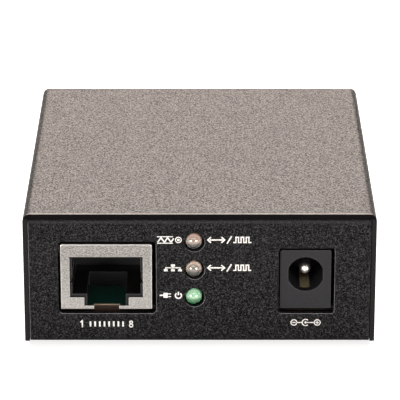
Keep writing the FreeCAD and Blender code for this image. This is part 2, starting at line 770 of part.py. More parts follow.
def make_board():
    """The board, with holes for its screws, the sockets' tails and the cage's pins."""
    body = new_body("circuit_board")
    plan = sketch_on(body, "XY", "board_plan", along="board_under")
    rectangle(plan, "-board_side - board_shift", "board_front", "board_side - board_shift", "board_back")
    pad(body, plan, "board_thickness")
    holes = sketch_on(body, "XY", "board_holes", along="board_under")
    for across, back in standoff_places():
        circle(holes, across, back, "thread_radius + board_hole_gap")
    for side in "-+":
        across = f"lan_mid {side} (lan_half - shield_gauge / 2)"
        rectangle(holes, f"{across} - shield_gauge / 2 - board_hole_gap",
                  "shield_post_back - shield_post_width / 2 - board_hole_gap",
                  f"{across} + shield_gauge / 2 + board_hole_gap",
                  "shield_post_back + shield_post_width / 2 + board_hole_gap")
    for number in range(LAN_WIRE_COUNT):
        back = wire_tail(number) + " + wire_gauge / 2"
        circle(holes, wire_place(number), back, "wire_width / 2 + tail_hole_gap")
    for number in range(len(LAMPS)):
        back = f"{lead_back(number)} + led_lead_width / 2"
        for side in "-+":
            circle(holes, f"led_mid {side} led_lead_spacing / 2", back, "led_lead_width / 2 + tail_hole_gap")
    rectangle(holes, "power_mid - terminal_width / 2 - board_hole_gap", "power_back - board_hole_gap",
              "power_mid + terminal_width / 2 + board_hole_gap", "terminal_back + board_hole_gap")
    rectangle(holes, "power_mid - spring_half - board_hole_gap", "spring_tail - board_hole_gap",
              "power_mid + spring_half + board_hole_gap", "spring_tail + spring_gauge + board_hole_gap")
    for number in range(CAGE_PIN_COUNT):
        for side in "-+":
            across = f"cage_mid {side} (cage_half - cage_gauge / 2)"
            back = f"cage_end + cage_pin_start + cage_pin_pitch * {number}"
            circle(holes, across, back, "cage_pin_width / 2 + board_hole_gap")
    pocket(body, holes, "board_thickness")


def wire_place(number):
    return f"lan_mid + wire_pitch * {number - (LAN_WIRE_COUNT - 1) / 2}"


def wire_tail(number):
    return f"wire_tail_back + wire_tail_stagger * {number % 2}"


def lead_back(number):
    return f"led_holder_back + led_lead_gap + led_lead_step * {number}"


def make_lan_jack():
    """A tab-down eight-way socket: the folded shield, the moulding in it and the eight spring wires."""
    shield = new_body("lan_jack_shield")
    face = sketch_on(shield, "XZ", "shield_face", along="lan_recess")
    rectangle(face, "lan_mid - lan_half", "board_top", "lan_mid + lan_half", "lan_top")
    pad(shield, face, "lan_depth")
    inside = sketch_on(shield, "XZ", "shield_inside", along="lan_recess + shield_gauge")
    rectangle(inside, "lan_mid - lan_half + shield_gauge", "board_top",
              "lan_mid + lan_half - shield_gauge", "lan_top - shield_gauge")
    pocket(shield, inside, "lan_depth - shield_gauge * 2")
    mouth = sketch_on(shield, "XZ", "shield_mouth", along="lan_recess")
    half = "mouth_width / 2"
    step = "board_top + key_step"
    outline(mouth, [
        ("lan_mid - key_slot_width / 2", "board_top"), ("lan_mid + key_slot_width / 2", "board_top"),
        ("lan_mid + key_slot_width / 2", step), ("lan_mid + key_width / 2", step),
        ("lan_mid + key_width / 2", "mouth_shoulder"), (f"lan_mid + {half}", "mouth_shoulder"),
        (f"lan_mid + {half}", "mouth_top"), (f"lan_mid - {half}", "mouth_top"),
        (f"lan_mid - {half}", "mouth_shoulder"), ("lan_mid - key_width / 2", "mouth_shoulder"),
        ("lan_mid - key_width / 2", step), ("lan_mid - key_slot_width / 2", step),
    ])
    pocket(shield, mouth, "shield_gauge")
    round_edges(shield, "shield_long_bends", "shield_bend", "y",
                lambda p: near(p.z, "lan_top") and near(abs(p.x - value("lan_mid")), "lan_half"))
    round_edges(shield, "shield_side_bends", "shield_side_bend", "z",
                lambda p: near(p.y, "lan_recess") and near(abs(p.x - value("lan_mid")), "lan_half"))
    for side in "-+":
        name = "left" if side == "-" else "right"
        other = "+" if side == "-" else "-"
        spring = sketch_on(shield, "XY", name + "_side_spring", along="board_top + side_spring_level")
        edge = f"lan_mid {side} mouth_width / 2"
        bulge = f"{edge} {other} side_spring_bulge"
        outer_bulge = f"{edge} {other} (side_spring_bulge - shield_gauge)"
        front = "lan_recess + shield_gauge / 2"
        middle = f"{front} + side_spring_crown"
        end = f"{front} + side_spring_length"
        outer = f"{edge} {side} shield_gauge"
        points = [(edge, front), (bulge, middle), (edge, end), (outer, end), (outer_bulge, middle), (outer, front)]
        outline(spring, points if side == "+" else points[::-1])
        pad(shield, spring, "side_spring_height")
        post = sketch_on(shield, "YZ", name + "_post", along=f"lan_mid {side} lan_half" +
                         (" - shield_gauge" if side == "+" else ""))
        rectangle(post, "shield_post_back - shield_post_width / 2", "tail_end",
                  "shield_post_back + shield_post_width / 2", "board_top + shield_post_lap")
        pad(shield, post, "shield_gauge")

    housing = new_body("lan_jack_housing")
    block = sketch_on(housing, "XZ", "housing_face", along="lan_block_front")
    rectangle(block, "lan_mid - lan_block_half", "board_top", "lan_mid + lan_block_half", "lan_block_top")
    pad(housing, block, "lan_block_back - lan_block_front")
    cavity = sketch_on(housing, "XZ", "plug_cavity", along="lan_block_front")
    rectangle(cavity, "lan_mid - cavity_width / 2", "cavity_floor", "lan_mid + cavity_width / 2", "cavity_top")
    pocket(housing, cavity, "cavity_depth")
    keyway = sketch_on(housing, "XZ", "latch_keyway", along="lan_block_front")
    rectangle(keyway, "lan_mid - cavity_key_width / 2", "board_top", "lan_mid + cavity_key_width / 2",
              "cavity_floor + lan_fit")
    pocket(housing, keyway, "cavity_key_depth")
    channel = sketch_on(housing, "XZ", "wire_channel", along="lan_block_front + wire_channel_start")
    rectangle(channel, "lan_mid - wire_row_half", "cavity_top - lan_fit", "lan_mid + wire_row_half", "wire_roof")
    pocket(housing, channel, "wire_room_back - lan_block_front - wire_channel_start")
    well = sketch_on(housing, "XY", "tail_well", along="board_top")
    rectangle(well, "lan_mid - wire_row_half", "wire_tail_back - wire_room", "lan_mid + wire_row_half",
              "wire_room_back")
    pocket(housing, well, "wire_roof - board_top")
    recess = sketch_on(housing, "XZ", "side_spring_recess", along="lan_block_front")
    rectangle(recess, "lan_mid - side_spring_room", "board_top + side_spring_level - lan_fit * 2",
              "lan_mid + side_spring_room", "board_top + side_spring_level + side_spring_height + lan_fit * 2")
    pocket(housing, recess, "side_spring_length + lan_fit * 2")

    wires = new_body("lan_jack_contacts")
    for number in range(LAN_WIRE_COUNT):
        drawn = sketch_on(wires, "YZ", f"wire_{number}", along=f"{wire_place(number)} - wire_width / 2")
        tail = wire_tail(number)
        outline(drawn, [
            (tail, "tail_end"), (f"{tail} + wire_gauge", "tail_end"), (f"{tail} + wire_gauge", "wire_roof"),
            ("wire_bend_back", "wire_roof"), ("wire_bend_back - wire_gauge", "wire_roof - wire_gauge"),
            ("wire_tip_back", "wire_roof - wire_tip_drop - wire_gauge"),
            ("wire_tip_back", "wire_roof - wire_tip_drop"),
            ("wire_bend_back + wire_gauge", "wire_roof - wire_gauge"), (tail, "wire_roof - wire_gauge"),
        ])
        pad(wires, drawn, "wire_width")


def make_power_jack():
    """A board-mounted barrel socket: the moulding, the riveted pin, its terminal and the side spring."""
    housing = new_body("power_jack_housing")
    block = sketch_on(housing, "XZ", "power_face", along="power_recess")
    rectangle(block, "power_mid - power_half", "board_top", "power_mid + power_half", "power_top")
    pad(housing, block, "power_depth")
    round_edges(housing, "power_long_edges", "power_round", "y", lambda p: near(p.z, "power_top"))
    bore = sketch_on(housing, "XZ", "power_bore", along="power_recess")
    flat = "power_bore_flat"
    centre = ("power_mid", "power_axis")
    outline(bore, [
        (f"power_mid + {flat}", "power_axis - power_chord"),
        (f"power_mid + {flat}", "power_axis + power_chord") + centre,
        (f"power_mid - {flat}", "power_axis + power_chord"),
        (f"power_mid - {flat}", "power_axis - power_chord") + centre,
    ])
    pocket(housing, bore, "power_bore_depth")
    through = sketch_on(housing, "XZ", "pin_hole", along="power_floor")
    circle(through, "power_mid", "power_axis", "pin_shank_radius + pin_hole_gap")
    pocket(housing, through, "power_back - power_floor")
    channel = sketch_on(housing, "XZ", "spring_channel", along="spring_start")
    rectangle(channel, "power_mid - spring_half - spring_channel_gap", "spring_low",
              "power_mid + spring_half + spring_channel_gap", "spring_top + spring_channel_gap")
    pocket(housing, channel, "spring_tail + spring_gauge + spring_channel_gap - spring_start")
    shaft = sketch_on(housing, "XY", "spring_shaft", along="board_top")
    rectangle(shaft, "power_mid - spring_half - spring_channel_gap", "spring_tail - spring_channel_gap",
              "power_mid + spring_half + spring_channel_gap", "spring_tail + spring_gauge + spring_channel_gap")
    pocket(housing, shaft, "spring_low + spring_gauge - board_top")

    pin = new_body("power_jack_pin")
    turned(pin, "contact_pin", "Y", ("power_mid", "power_recess", "power_axis"), [
        ("0", "power_depth + terminal_gauge + rivet_height"),
        ("0", "pin_back", "0", "pin_back + pin_radius"),
        ("pin_radius", "pin_back + pin_radius"),
        ("pin_radius", "power_bore_depth"), ("pin_shank_radius", "power_bore_depth"),
        ("pin_shank_radius", "power_depth + terminal_gauge"),
        ("rivet_radius", "power_depth + terminal_gauge"),
        ("rivet_radius", "power_depth + terminal_gauge + rivet_height"),
    ])
    terminal = new_body("power_jack_terminal")
    strip = sketch_on(terminal, "XZ", "terminal_strip", along="power_back")
    rectangle(strip, "power_mid - terminal_width / 2", "tail_end", "power_mid + terminal_width / 2",
              "power_axis + rivet_radius + terminal_margin")
    circle(strip, "power_mid", "power_axis", "pin_shank_radius + pin_hole_gap")
    pad(terminal, strip, "terminal_gauge")

    spring = new_body("power_jack_spring")
    leaf = sketch_on(spring, "YZ", "spring_leaf", along="power_mid - spring_half")
    front = "spring_start + spring_channel_gap"
    crown = "spring_start + spring_crown_back"
    low = "spring_low + spring_gauge"
    end = "power_floor - spring_gauge"
    outline(leaf, [
        (front, "spring_low"), ("spring_tail", "spring_low"), ("spring_tail", "tail_end"),
        ("spring_tail + spring_gauge", "tail_end"), ("spring_tail + spring_gauge", low),
        (f"{front} + spring_gauge", low), (crown, "spring_top - spring_gauge"),
        (end, f"{low} + spring_gauge / 2"), (end, f"{low} + spring_gauge / 2 + spring_gauge"),
        (crown, "spring_top"), (front, low),
    ])
    pad(spring, leaf, "spring_width")


def make_lamps():
    """Three 3 mm lamps one above the other, the block that holds them and their leads bent to the board."""
    for number, name in enumerate(LAMPS):
        body = new_body(name)
        level = f"led_first_level + led_pitch * {number}"
        turned(body, name + "_lens", "Y", ("led_mid", "-led_proud", level), [
            ("0", "led_length"),
            ("0", "0", "0", "led_radius"),
            ("led_radius", "led_radius"), ("led_radius", "led_length - led_flange"),
            ("led_flange_radius", "led_length - led_flange"), ("led_flange_radius", "led_length"),
        ])
    holder = new_body("led_holder")
    block = sketch_on(holder, "XZ", "holder_face", along="led_holder_front")
    rectangle(block, "led_mid - led_holder_width / 2", "board_top", "led_mid + led_holder_width / 2",
              "led_top_level + led_holder_cap")
    pad(holder, block, "led_holder_depth")
    bores = sketch_on(holder, "XZ", "lamp_bores", along="led_holder_front")
    seats = sketch_on(holder, "XZ", "flange_bores", along="led_base - led_flange - led_bore_gap")
    for number in range(len(LAMPS)):
        level = f"led_first_level + led_pitch * {number}"
        circle(bores, "led_mid", level, "led_radius + led_bore_gap")
        circle(seats, "led_mid", level, "led_flange_radius + led_bore_gap")
    pocket(holder, bores, "led_holder_depth")
    pocket(holder, seats, "led_holder_back - led_base + led_flange + led_bore_gap")
    leads = new_body("led_leads")
    for number in range(len(LAMPS)):
        side = "led_mid - led_lead_spacing / 2 - led_lead_width / 2"
        drawn = sketch_on(leads, "YZ", f"lead_{number}", along=side)
        level = f"led_first_level + led_pitch * {number}"
        back = lead_back(number)
        outline(drawn, [
            (back, "tail_end"), (f"{back} + led_lead_width", "tail_end"),
            (f"{back} + led_lead_width", f"{level} + led_lead_width / 2"),
            ("led_base", f"{level} + led_lead_width / 2"), ("led_base", f"{level} - led_lead_width / 2"),
            (back, f"{level} - led_lead_width / 2"),
        ])
        row_of(leads, f"lead_pair_{number}", [pad(leads, drawn, "led_lead_width")], "X", "led_lead_spacing", 2)


def make_fibre_port():
    """The module cage with its pins and collar, and the card-edge connector at its inner end."""
    cage = new_body("fibre_cage", ("cage_mid", "0", "0"))
    tube = sketch_on(cage, "XZ", "cage_tube", along="cage_end")
    rectangle(tube, "-cage_half", "board_top", "cage_half", "cage_top")
    pad(cage, tube, "cage_mouth - cage_end")
    round_edges(cage, "cage_edges", "cage_corner", "y", lambda p: True)
    inside = sketch_on(cage, "XZ", "cage_inside", along="cage_end + cage_gauge")
    rectangle(inside, "-cage_half + cage_gauge", "board_top + cage_gauge", "cage_half - cage_gauge",
              "cage_top - cage_gauge")
    pocket(cage, inside, "cage_mouth - cage_end - cage_gauge")
    window = sketch_on(cage, "XY", "cage_window", along="board_top")
    rectangle(window, "-cage_half + cage_gauge + cage_window_frame", "cage_end + cage_gauge",
              "cage_half - cage_gauge - cage_window_frame", "cage_end + cage_window")
    pocket(cage, window, "cage_gauge")
    latch = sketch_on(cage, "XY", "latch_hole", along="board_top")
    outline(latch, [
        ("-latch_hole / 2", "cage_mouth - latch_hole_back - latch_hole"),
        ("latch_hole / 2", "cage_mouth - latch_hole_back - latch_hole"), ("0", "cage_mouth - latch_hole_back"),
    ])
    pocket(cage, latch, "cage_gauge")
    vents = sketch_on(cage, "XY", "cage_vents", along="cage_top - cage_gauge")
    for across in ("-cage_half / 2", "cage_half / 2"):
        circle(vents, across, "cage_end + cage_vent_start", "cage_vent_radius")
    row_of(cage, "cage_vent_rows", [pocket(cage, vents, "cage_gauge")], "Y", "cage_vent_pitch", CAGE_VENT_COUNT)
    pins = []
    for name, start in (("left_pins", "-cage_half"), ("right_pins", "cage_half - cage_gauge")):
        drawn = sketch_on(cage, "YZ", name, along=start)
        for number in range(CAGE_PIN_COUNT):
            back = f"cage_end + cage_pin_start + cage_pin_pitch * {number}"
            rectangle(drawn, f"{back} - cage_pin_width / 2", "tail_end", f"{back} + cage_pin_width / 2",
                      "board_top + cage_corner + cage_gauge")
        pins.append(pad(cage, drawn, "cage_gauge"))

    collar = new_body("fibre_cage_collar", ("cage_mid", "0", "0"))
    ring = sketch_on(collar, "XZ", "collar_ring", along="collar_back")
    rectangle(ring, "-cage_half - collar_gauge", "board_top - collar_gauge", "cage_half + collar_gauge",
              "cage_top + collar_gauge")
    rectangle(ring, "-cage_half", "board_top", "cage_half", "cage_top")
    pad(collar, ring, "collar_inside + cage_proud")
    span = f"finger_pitch * {(TOP_FINGER_COUNT - 1) / 2}"
    crown = "finger_start + finger_length / 2"
    finger = sketch_on(collar, "YZ", "top_finger", along=f"-{span} - finger_width / 2")
    outline(finger, [
        ("finger_start", "cage_top"), ("collar_back", "cage_top"), ("collar_back", "cage_top + collar_gauge"),
        (crown, "cage_top + finger_rise"), ("finger_start", "cage_top + collar_gauge"),
    ])
    row_of(collar, "top_fingers", [pad(collar, finger, "finger_width")], "X", "finger_pitch", TOP_FINGER_COUNT)
    for side, wall, name in (("-", "-cage_half", "left"), ("+", "cage_half", "right")):
        flank = sketch_on(collar, "XY", name + "_finger", along="board_top + finger_width")
        points = [
            (wall, "finger_start"), (f"{wall} {side} collar_gauge", "finger_start"),
            (f"{wall} {side} finger_rise", crown), (f"{wall} {side} collar_gauge", "collar_back"),
            (wall, "collar_back"),
        ]
        outline(flank, points if side == "+" else points[::-1])
        row_of(collar, name + "_fingers", [pad(collar, flank, "finger_width")], "Z", "finger_pitch",
               SIDE_FINGER_COUNT)

    connector = new_body("fibre_connector", ("cage_mid", "0", "0"))
    block = sketch_on(connector, "XZ", "connector_face", along="connector_back")
    rectangle(block, "-connector_width / 2", "board_top",
              "connector_width / 2", "board_top + connector_height")
    pad(connector, block, "connector_depth")
    slot = sketch_on(connector, "XZ", "card_slot", along="connector_back + connector_depth - card_slot_depth")
    rectangle(slot, "-card_slot_width / 2", "card_slot_low", "card_slot_width / 2",
              "card_slot_low + card_slot_height")
    pocket(connector, slot, "card_slot_depth")
    contacts = new_body("fibre_connector_contacts", ("cage_mid", "0", "0"))
    rows = sketch_on(contacts, "XZ", "contact_rows", along="connector_back + connector_depth - card_slot_depth")
    first = f"-card_contact_pitch * {(CARD_CONTACT_COUNT - 1) / 2}"
    left = f"{first} - card_contact_width / 2"
    right = f"{first} + card_contact_width / 2"
    rectangle(rows, left, "card_slot_low", right, "card_slot_low + card_contact_gauge")
    rectangle(rows, left, "card_slot_low + card_slot_height - card_contact_gauge", right,
              "card_slot_low + card_slot_height")
    row_of(contacts, "contact_row", [pad(contacts, rows, "card_contact_length")], "X", "card_contact_pitch",
           CARD_CONTACT_COUNT)


def gull_leads(label, centre, half_depth, pitch, width, count, turns):
    """Rows of bent leads round a chip: out of its side, down, and flat on the board."""
    body = new_body(label, centre)
    first = f"-({pitch}) * {(count - 1) / 2} - {width} / 2"
    drawn = sketch_on(body, "YZ", label + "_lead", along=first)
    knee = f"{half_depth} + lead_knee"
    outline(drawn, [
        (half_depth, "chip_lift + lead_gauge * 2"), (f"{knee} - lead_gauge", "chip_lift + lead_gauge * 2"),
        (f"{knee} - lead_gauge", "0"), (f"{half_depth} + lead_reach", "0"),
        (f"{half_depth} + lead_reach", "lead_gauge"), (knee, "lead_gauge"),
        (knee, "chip_lift + lead_gauge * 3"), (half_depth, "chip_lift + lead_gauge * 3"),
    ])
    rows_round(body, label + "_rows", [pad(body, drawn, width)], "X", pitch, count, turns)


def chip_block(label, centre, width, depth, height, corner=None):
    """A moulded package standing just off the board, its corners cut if a cut is given."""
    body = new_body(label, centre)
    plan = sketch_on(body, "XY", label + "_plan", along="chip_lift")
    side = f"{width} / 2"
    back = f"{depth} / 2"
    if corner is None:
        rectangle(plan, f"-{side}", f"-{back}", side, back)
    else:
        outline(plan, [
            (f"-{side} + {corner}", f"-{back}"), (f"{side} - {corner}", f"-{back}"),
            (side, f"-{back} + {corner}"), (side, f"{back} - {corner}"),
            (f"{side} - {corner}", back), (f"-{side} + {corner}", back),
            (f"-{side}", f"{back} - {corner}"), (f"-{side}", f"-{back} + {corner}"),
        ])
    pad(body, plan, height)


def make_electronics():
    """The larger parts on the board: transformer, crystal, chips, regulator, inductor and capacitors."""
    transformer = ("transformer_mid", "transformer_back", "board_top")
    chip_block("lan_transformer", transformer, "transformer_width", "transformer_depth", "transformer_height")
    gull_leads("lan_transformer_leads", transformer, "transformer_depth / 2", "transformer_pitch",
               "transformer_lead_width", TRANSFORMER_LEAD_COUNT, 2)
    converter = ("converter_mid", "converter_back", "board_top")
    chip_block("converter_chip", converter, "converter_width", "converter_width", "converter_height",
               "converter_corner")
    gull_leads("converter_chip_leads", converter, "converter_width / 2", "converter_pitch",
               "converter_lead_width", CONVERTER_LEAD_COUNT, 4)
    memory = ("right_column", "memory_back", "board_top")
    chip_block("memory_chip", memory, "memory_width", "memory_depth", "memory_height")
    gull_leads("memory_chip_leads", memory, "memory_depth / 2", "transformer_pitch", "transformer_lead_width",
               MEMORY_LEAD_COUNT, 2)
    regulator = ("right_column", "regulator_back", "board_top")
    chip_block("voltage_regulator", regulator, "regulator_width", "regulator_depth", "regulator_height")
    gull_leads("voltage_regulator_leads", regulator, "regulator_depth / 2", "regulator_pitch",
               "regulator_lead_width", REGULATOR_LEAD_COUNT, 2)

    inductor = new_body("power_inductor", ("right_column", "inductor_back", "board_top"))
    plan = sketch_on(inductor, "XY", "inductor_plan")
    rectangle(plan, "-inductor_width / 2", "-inductor_width / 2", "inductor_width / 2", "inductor_width / 2")
    pad(inductor, plan, "inductor_core_height")
    round_edges(inductor, "inductor_corners", "inductor_corner", "z", lambda p: True)
    cap = sketch_on(inductor, "XY", "inductor_cap", along="inductor_core_height")
    circle(cap, "0", "0", "inductor_cap_radius")
    pad(inductor, cap, "inductor_height - inductor_core_height")

    cans = new_body("capacitor_cans", ("right_column", "capacitor_back", "board_top"))
    bases = new_body("capacitor_bases", ("right_column", "capacitor_back", "board_top"))
    feet = sketch_on(bases, "XY", "capacitor_foot")
    rectangle(feet, "-capacitor_radius", "-capacitor_radius", "capacitor_radius", "capacitor_radius")
    foot = pad(bases, feet, "capacitor_base_height")
    row_of(bases, "capacitor_feet", [foot], "Y", "capacitor_pitch", CAPACITOR_COUNT)
    can = turned(cans, "capacitor_can", "Z", ("0", "0", "capacitor_base_height"), [
        ("0", "0"), ("capacitor_radius", "0"), ("capacitor_radius", "capacitor_height - capacitor_chamfer"),
        ("capacitor_radius - capacitor_chamfer", "capacitor_height"), ("0", "capacitor_height"),
    ])
    row_of(cans, "capacitor_row", [can], "Y", "capacitor_pitch", CAPACITOR_COUNT)

    crystal = new_body("crystal_can", ("converter_mid", "crystal_back", "board_top"))
    plan = sketch_on(crystal, "XY", "crystal_plan")
    rectangle(plan, "-crystal_width / 2", "-crystal_depth / 2", "crystal_width / 2", "crystal_depth / 2")
    pad(crystal, plan, "crystal_height")
    round_edges(crystal, "crystal_corners", "crystal_corner", "z", lambda p: True)

    smalls = new_body("small_components", ("small_part_left", "small_part_back", "board_top"))
    plan = sketch_on(smalls, "XY", "small_part")
    rectangle(plan, "0", "0", "small_part_width", "small_part_length")
    room = value("board_back - small_part_end - small_part_back")
    row_of(smalls, "small_part_row", [pad(smalls, plan, "small_part_height")], "Y", "small_part_pitch",
           int(room // SIZES["small_part_pitch"]))


make_top_cover()
make_base_chassis()
make_standoffs_and_screws()
make_cover_screws()
make_feet()
make_board()
make_lan_jack()
make_power_jack()
make_lamps()
make_fibre_port()
make_electronics()
doc.recompute()

for item in doc.Objects:
    if "Invalid" in item.State or "Error" in item.State:
        raise RuntimeError(f"{item.Name} failed: {item.State}")

os.makedirs("parts", exist_ok=True)
for body in doc.findObjects("PartDesign::Body"):
    if body.Shape.isNull() or not body.Shape.isValid() or not body.Shape.Solids:
        raise RuntimeError(f"{body.Label} has no valid solid")
    body.Shape.exportStep(f"parts/{body.Label}.step")
    box = body.Shape.BoundBox
    print(f"{body.Label}: {len(body.Shape.Solids)} solid(s), {body.Shape.Volume:.1f} mm3, "
          f"x {box.XMin:.2f} {box.XMax:.2f}, y {box.YMin:.2f} {box.YMax:.2f}, z {box.ZMin:.2f} {box.ZMax:.2f}")
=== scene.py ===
import math

import bpy
import numpy as np
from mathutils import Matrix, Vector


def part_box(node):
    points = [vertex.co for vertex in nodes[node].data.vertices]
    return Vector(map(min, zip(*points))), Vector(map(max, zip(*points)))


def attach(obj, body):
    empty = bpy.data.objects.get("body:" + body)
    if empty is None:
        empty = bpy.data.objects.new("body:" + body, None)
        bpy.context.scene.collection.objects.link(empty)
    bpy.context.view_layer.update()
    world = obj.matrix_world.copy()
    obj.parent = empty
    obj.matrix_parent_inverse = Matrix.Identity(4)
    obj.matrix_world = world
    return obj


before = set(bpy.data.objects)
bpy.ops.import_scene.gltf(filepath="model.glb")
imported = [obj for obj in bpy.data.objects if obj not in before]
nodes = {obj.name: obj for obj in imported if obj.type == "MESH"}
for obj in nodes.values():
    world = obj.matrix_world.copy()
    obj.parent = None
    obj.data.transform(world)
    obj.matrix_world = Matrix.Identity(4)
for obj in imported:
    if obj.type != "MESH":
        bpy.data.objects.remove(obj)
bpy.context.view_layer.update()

MM = 0.001

# Base chassis: one sheet of 0.8 mm steel folded into a floor, a front wall and a rear wall.
# It is powder coated black, a coat that cures to a fine pebbled skin with small pale flecks.
# The cover's side walls are screwed to its four upturned tabs.


def linear(colour):
    """The linear red, green, blue and alpha of an sRGB hex colour."""
    parts = [int(colour[i:i + 2], 16) / 255 for i in (1, 3, 5)]
    return [p / 12.92 if p <= 0.04045 else ((p + 0.055) / 1.055) ** 2.4 for p in parts] + [1.0]


def add(tree, kind, inputs=None, **settings):
    """Adds a node. Settings are its properties; an input is a value, or a socket to link from."""
    made = tree.nodes.new(kind)
    for name, setting in settings.items():
        setattr(made, name, setting)
    for name, given in (inputs or {}).items():
        socket = made.inputs[name]
        if isinstance(given, bpy.types.NodeSocket):
            tree.links.new(given, socket)
        else:
            socket.default_value = given
    return made


def start_material(name):
    """An empty material, its tree, and object coordinates in millimetres."""
    material = bpy.data.materials.new(name)
    material.use_nodes = True
    tree = material.node_tree
    tree.nodes.clear()
    place = add(tree, "ShaderNodeTexCoord").outputs["Object"]
    in_mm = add(tree, "ShaderNodeMapping", {"Vector": place, "Scale": (1 / MM, 1 / MM, 1 / MM)})
    return material, tree, in_mm.outputs["Vector"]


def end_material(material, tree, surface):
    """Gives the material its surface and returns it."""
    add(tree, "ShaderNodeOutputMaterial", {"Surface": surface.outputs[0]})
    return material


def finish_node(name, material):
    """Puts one material on every slot of a carried-over piece."""
    slots = nodes[name].data.materials
    slots.clear()
    slots.append(material)
    nodes[name].data.polygons.foreach_set("material_index", [0] * len(nodes[name].data.polygons))


def edge_rounding(tree, rounding):
    """A normal that rounds sharp edges over a distance in mm, and a mask of where it does.

    The mask rises from 0 to 1 as the dot product of the rounded and the true normal falls.
    """
    rounded = add(tree, "ShaderNodeBevel", {"Radius": rounding * MM}, samples=6).outputs["Normal"]
    true = add(tree, "ShaderNodeNewGeometry").outputs["Normal"]
    match = add(tree, "ShaderNodeVectorMath", {0: rounded, 1: true}, operation="DOT_PRODUCT")
    mask = add(tree, "ShaderNodeMapRange", {"Value": match.outputs["Value"], "From Min": 0.995,
                                            "From Max": 0.93})
    return rounded, mask.outputs["Result"]


# The pebbles of the coat are about 0.1 mm across, and are drawn at twice that so that they show
COAT_GRAIN = 0.2
PEBBLE_HEIGHT = 0.09
COAT_PEEL = 0.9
PEEL_HEIGHT = 0.06
# Edges whose rounded normal leans this way, up and to the left, are painted pale as a highlight
HIGHLIGHT_WAY = (-0.5, 0.0, 0.7)


def powder_coat(name, body, fleck, edge_highlight, fleck_share, roughness, specular, grain_size=COAT_GRAIN,
                rounding=0.2, side_gloss=1.0):
    """Powder coat on steel: a pebbled skin with pale flecks, and a painted highlight where an edge turns
    upward.

    It is glossier on the pebbles than between them, and where a bend stretches it. On bends that turn
    sideways it is thin, and side_gloss is the share of its gloss left there.
    """
    material, tree, mm = start_material(name)
    grain = add(tree, "ShaderNodeTexNoise", {"Vector": mm, "Scale": 1 / grain_size, "Detail": 1.0,
                                             "Roughness": 0.6}).outputs["Fac"]
    peel = add(tree, "ShaderNodeTexNoise", {"Vector": mm, "Scale": 1 / COAT_PEEL,
                                            "Detail": 2.0}).outputs["Fac"]
    rounded, edge = edge_rounding(tree, rounding)
    way = add(tree, "ShaderNodeSeparateXYZ", {"Vector": rounded}).outputs

    # Colour
    share = add(tree, "ShaderNodeMapRange", {"Value": grain, "From Min": 1 - fleck_share, "From Max": 0.72})
    flecked = add(tree, "ShaderNodeMix", {"Factor": share.outputs["Result"], "A": linear(body),
                                          "B": linear(fleck)}, data_type="RGBA")
    # Painted highlight: rounded edges that lean up and to the left are mixed towards a pale tone
    lean = add(tree, "ShaderNodeVectorMath", {0: rounded, 1: HIGHLIGHT_WAY}, operation="DOT_PRODUCT")
    upward = add(tree, "ShaderNodeMapRange", {"Value": lean.outputs["Value"], "From Min": -0.02,
                                              "From Max": 0.25})
    painted_highlight = add(tree, "ShaderNodeMath", {0: edge, 1: upward.outputs["Result"]}, operation="MULTIPLY")
    colour = add(tree, "ShaderNodeMix", {"Factor": painted_highlight.outputs[0], "A": flecked.outputs["Result"],
                                         "B": linear(edge_highlight)}, data_type="RGBA")

    # Gloss
    shine = add(tree, "ShaderNodeMapRange", {"Value": grain, "From Min": 0.3, "From Max": 0.7,
                                             "To Min": roughness + 0.1, "To Max": roughness - 0.08})
    matt = add(tree, "ShaderNodeMix", {"Factor": edge, "A": shine.outputs["Result"], "B": 0.3})
    pebbles = add(tree, "ShaderNodeMapRange", {"Value": grain, "From Min": 0.36, "From Max": 0.64,
                                               "To Min": specular * 0.15, "To Max": specular * 1.85})
    up = add(tree, "ShaderNodeMapRange", {"Value": way["Z"], "From Min": 0.3, "From Max": 0.65})
    out = add(tree, "ShaderNodeMapRange", {"Value": way["Y"], "From Min": -0.3, "From Max": -0.5,
                                           "To Max": 0.45})
    stretched = add(tree, "ShaderNodeMath", {0: up.outputs["Result"], 1: out.outputs["Result"]},
                    operation="MULTIPLY")
    smooth = add(tree, "ShaderNodeMath", {0: painted_highlight.outputs[0], 1: stretched.outputs[0]}, operation="MAXIMUM")
    gloss = add(tree, "ShaderNodeMix", {"Factor": smooth.outputs[0], "A": pebbles.outputs["Result"],
                                        "B": 1.0})
    aside = add(tree, "ShaderNodeMath", {0: way["X"]}, operation="ABSOLUTE")
    thin = add(tree, "ShaderNodeMapRange", {"Value": aside.outputs[0], "From Min": 0.05, "From Max": 0.3,
                                            "To Min": 1.0, "To Max": side_gloss})
    left = add(tree, "ShaderNodeMath", {0: gloss.outputs["Result"], 1: thin.outputs["Result"]},
               operation="MULTIPLY")

    # Relief
    low = add(tree, "ShaderNodeBump", {"Height": peel, "Strength": 0.25, "Distance": PEEL_HEIGHT * MM,
                                       "Normal": rounded})
    fine = add(tree, "ShaderNodeBump", {"Height": grain, "Strength": 0.9, "Distance": PEBBLE_HEIGHT * MM,
                                        "Normal": low.outputs["Normal"]})
    paint = add(tree, "ShaderNodeBsdfPrincipled", {
        "Base Color": colour.outputs["Result"], "Roughness": matt.outputs["Result"],
        "Specular IOR Level": left.outputs[0], "Normal": fine.outputs["Normal"]})
    paint.inputs["Specular IOR Level"].default_value = specular
    return end_material(material, tree, paint)


# The edges of its openings get a pale painted highlight
finish_node("base_chassis", powder_coat("black_powder_coat", body="#09090a", fleck="#353437", edge_highlight="#77757a",
                                        fleck_share=0.45, roughness=0.46, specular=0.16))

# Feet: four discs of black rubber, die-cut with a small chamfer and stuck under the floor.
# Rubber is matt, with pale dust on it in patches.

FOOT_DUST = 1.6
RUBBER_GRAIN = 1 / 6
RUBBER_HEIGHT = 0.03


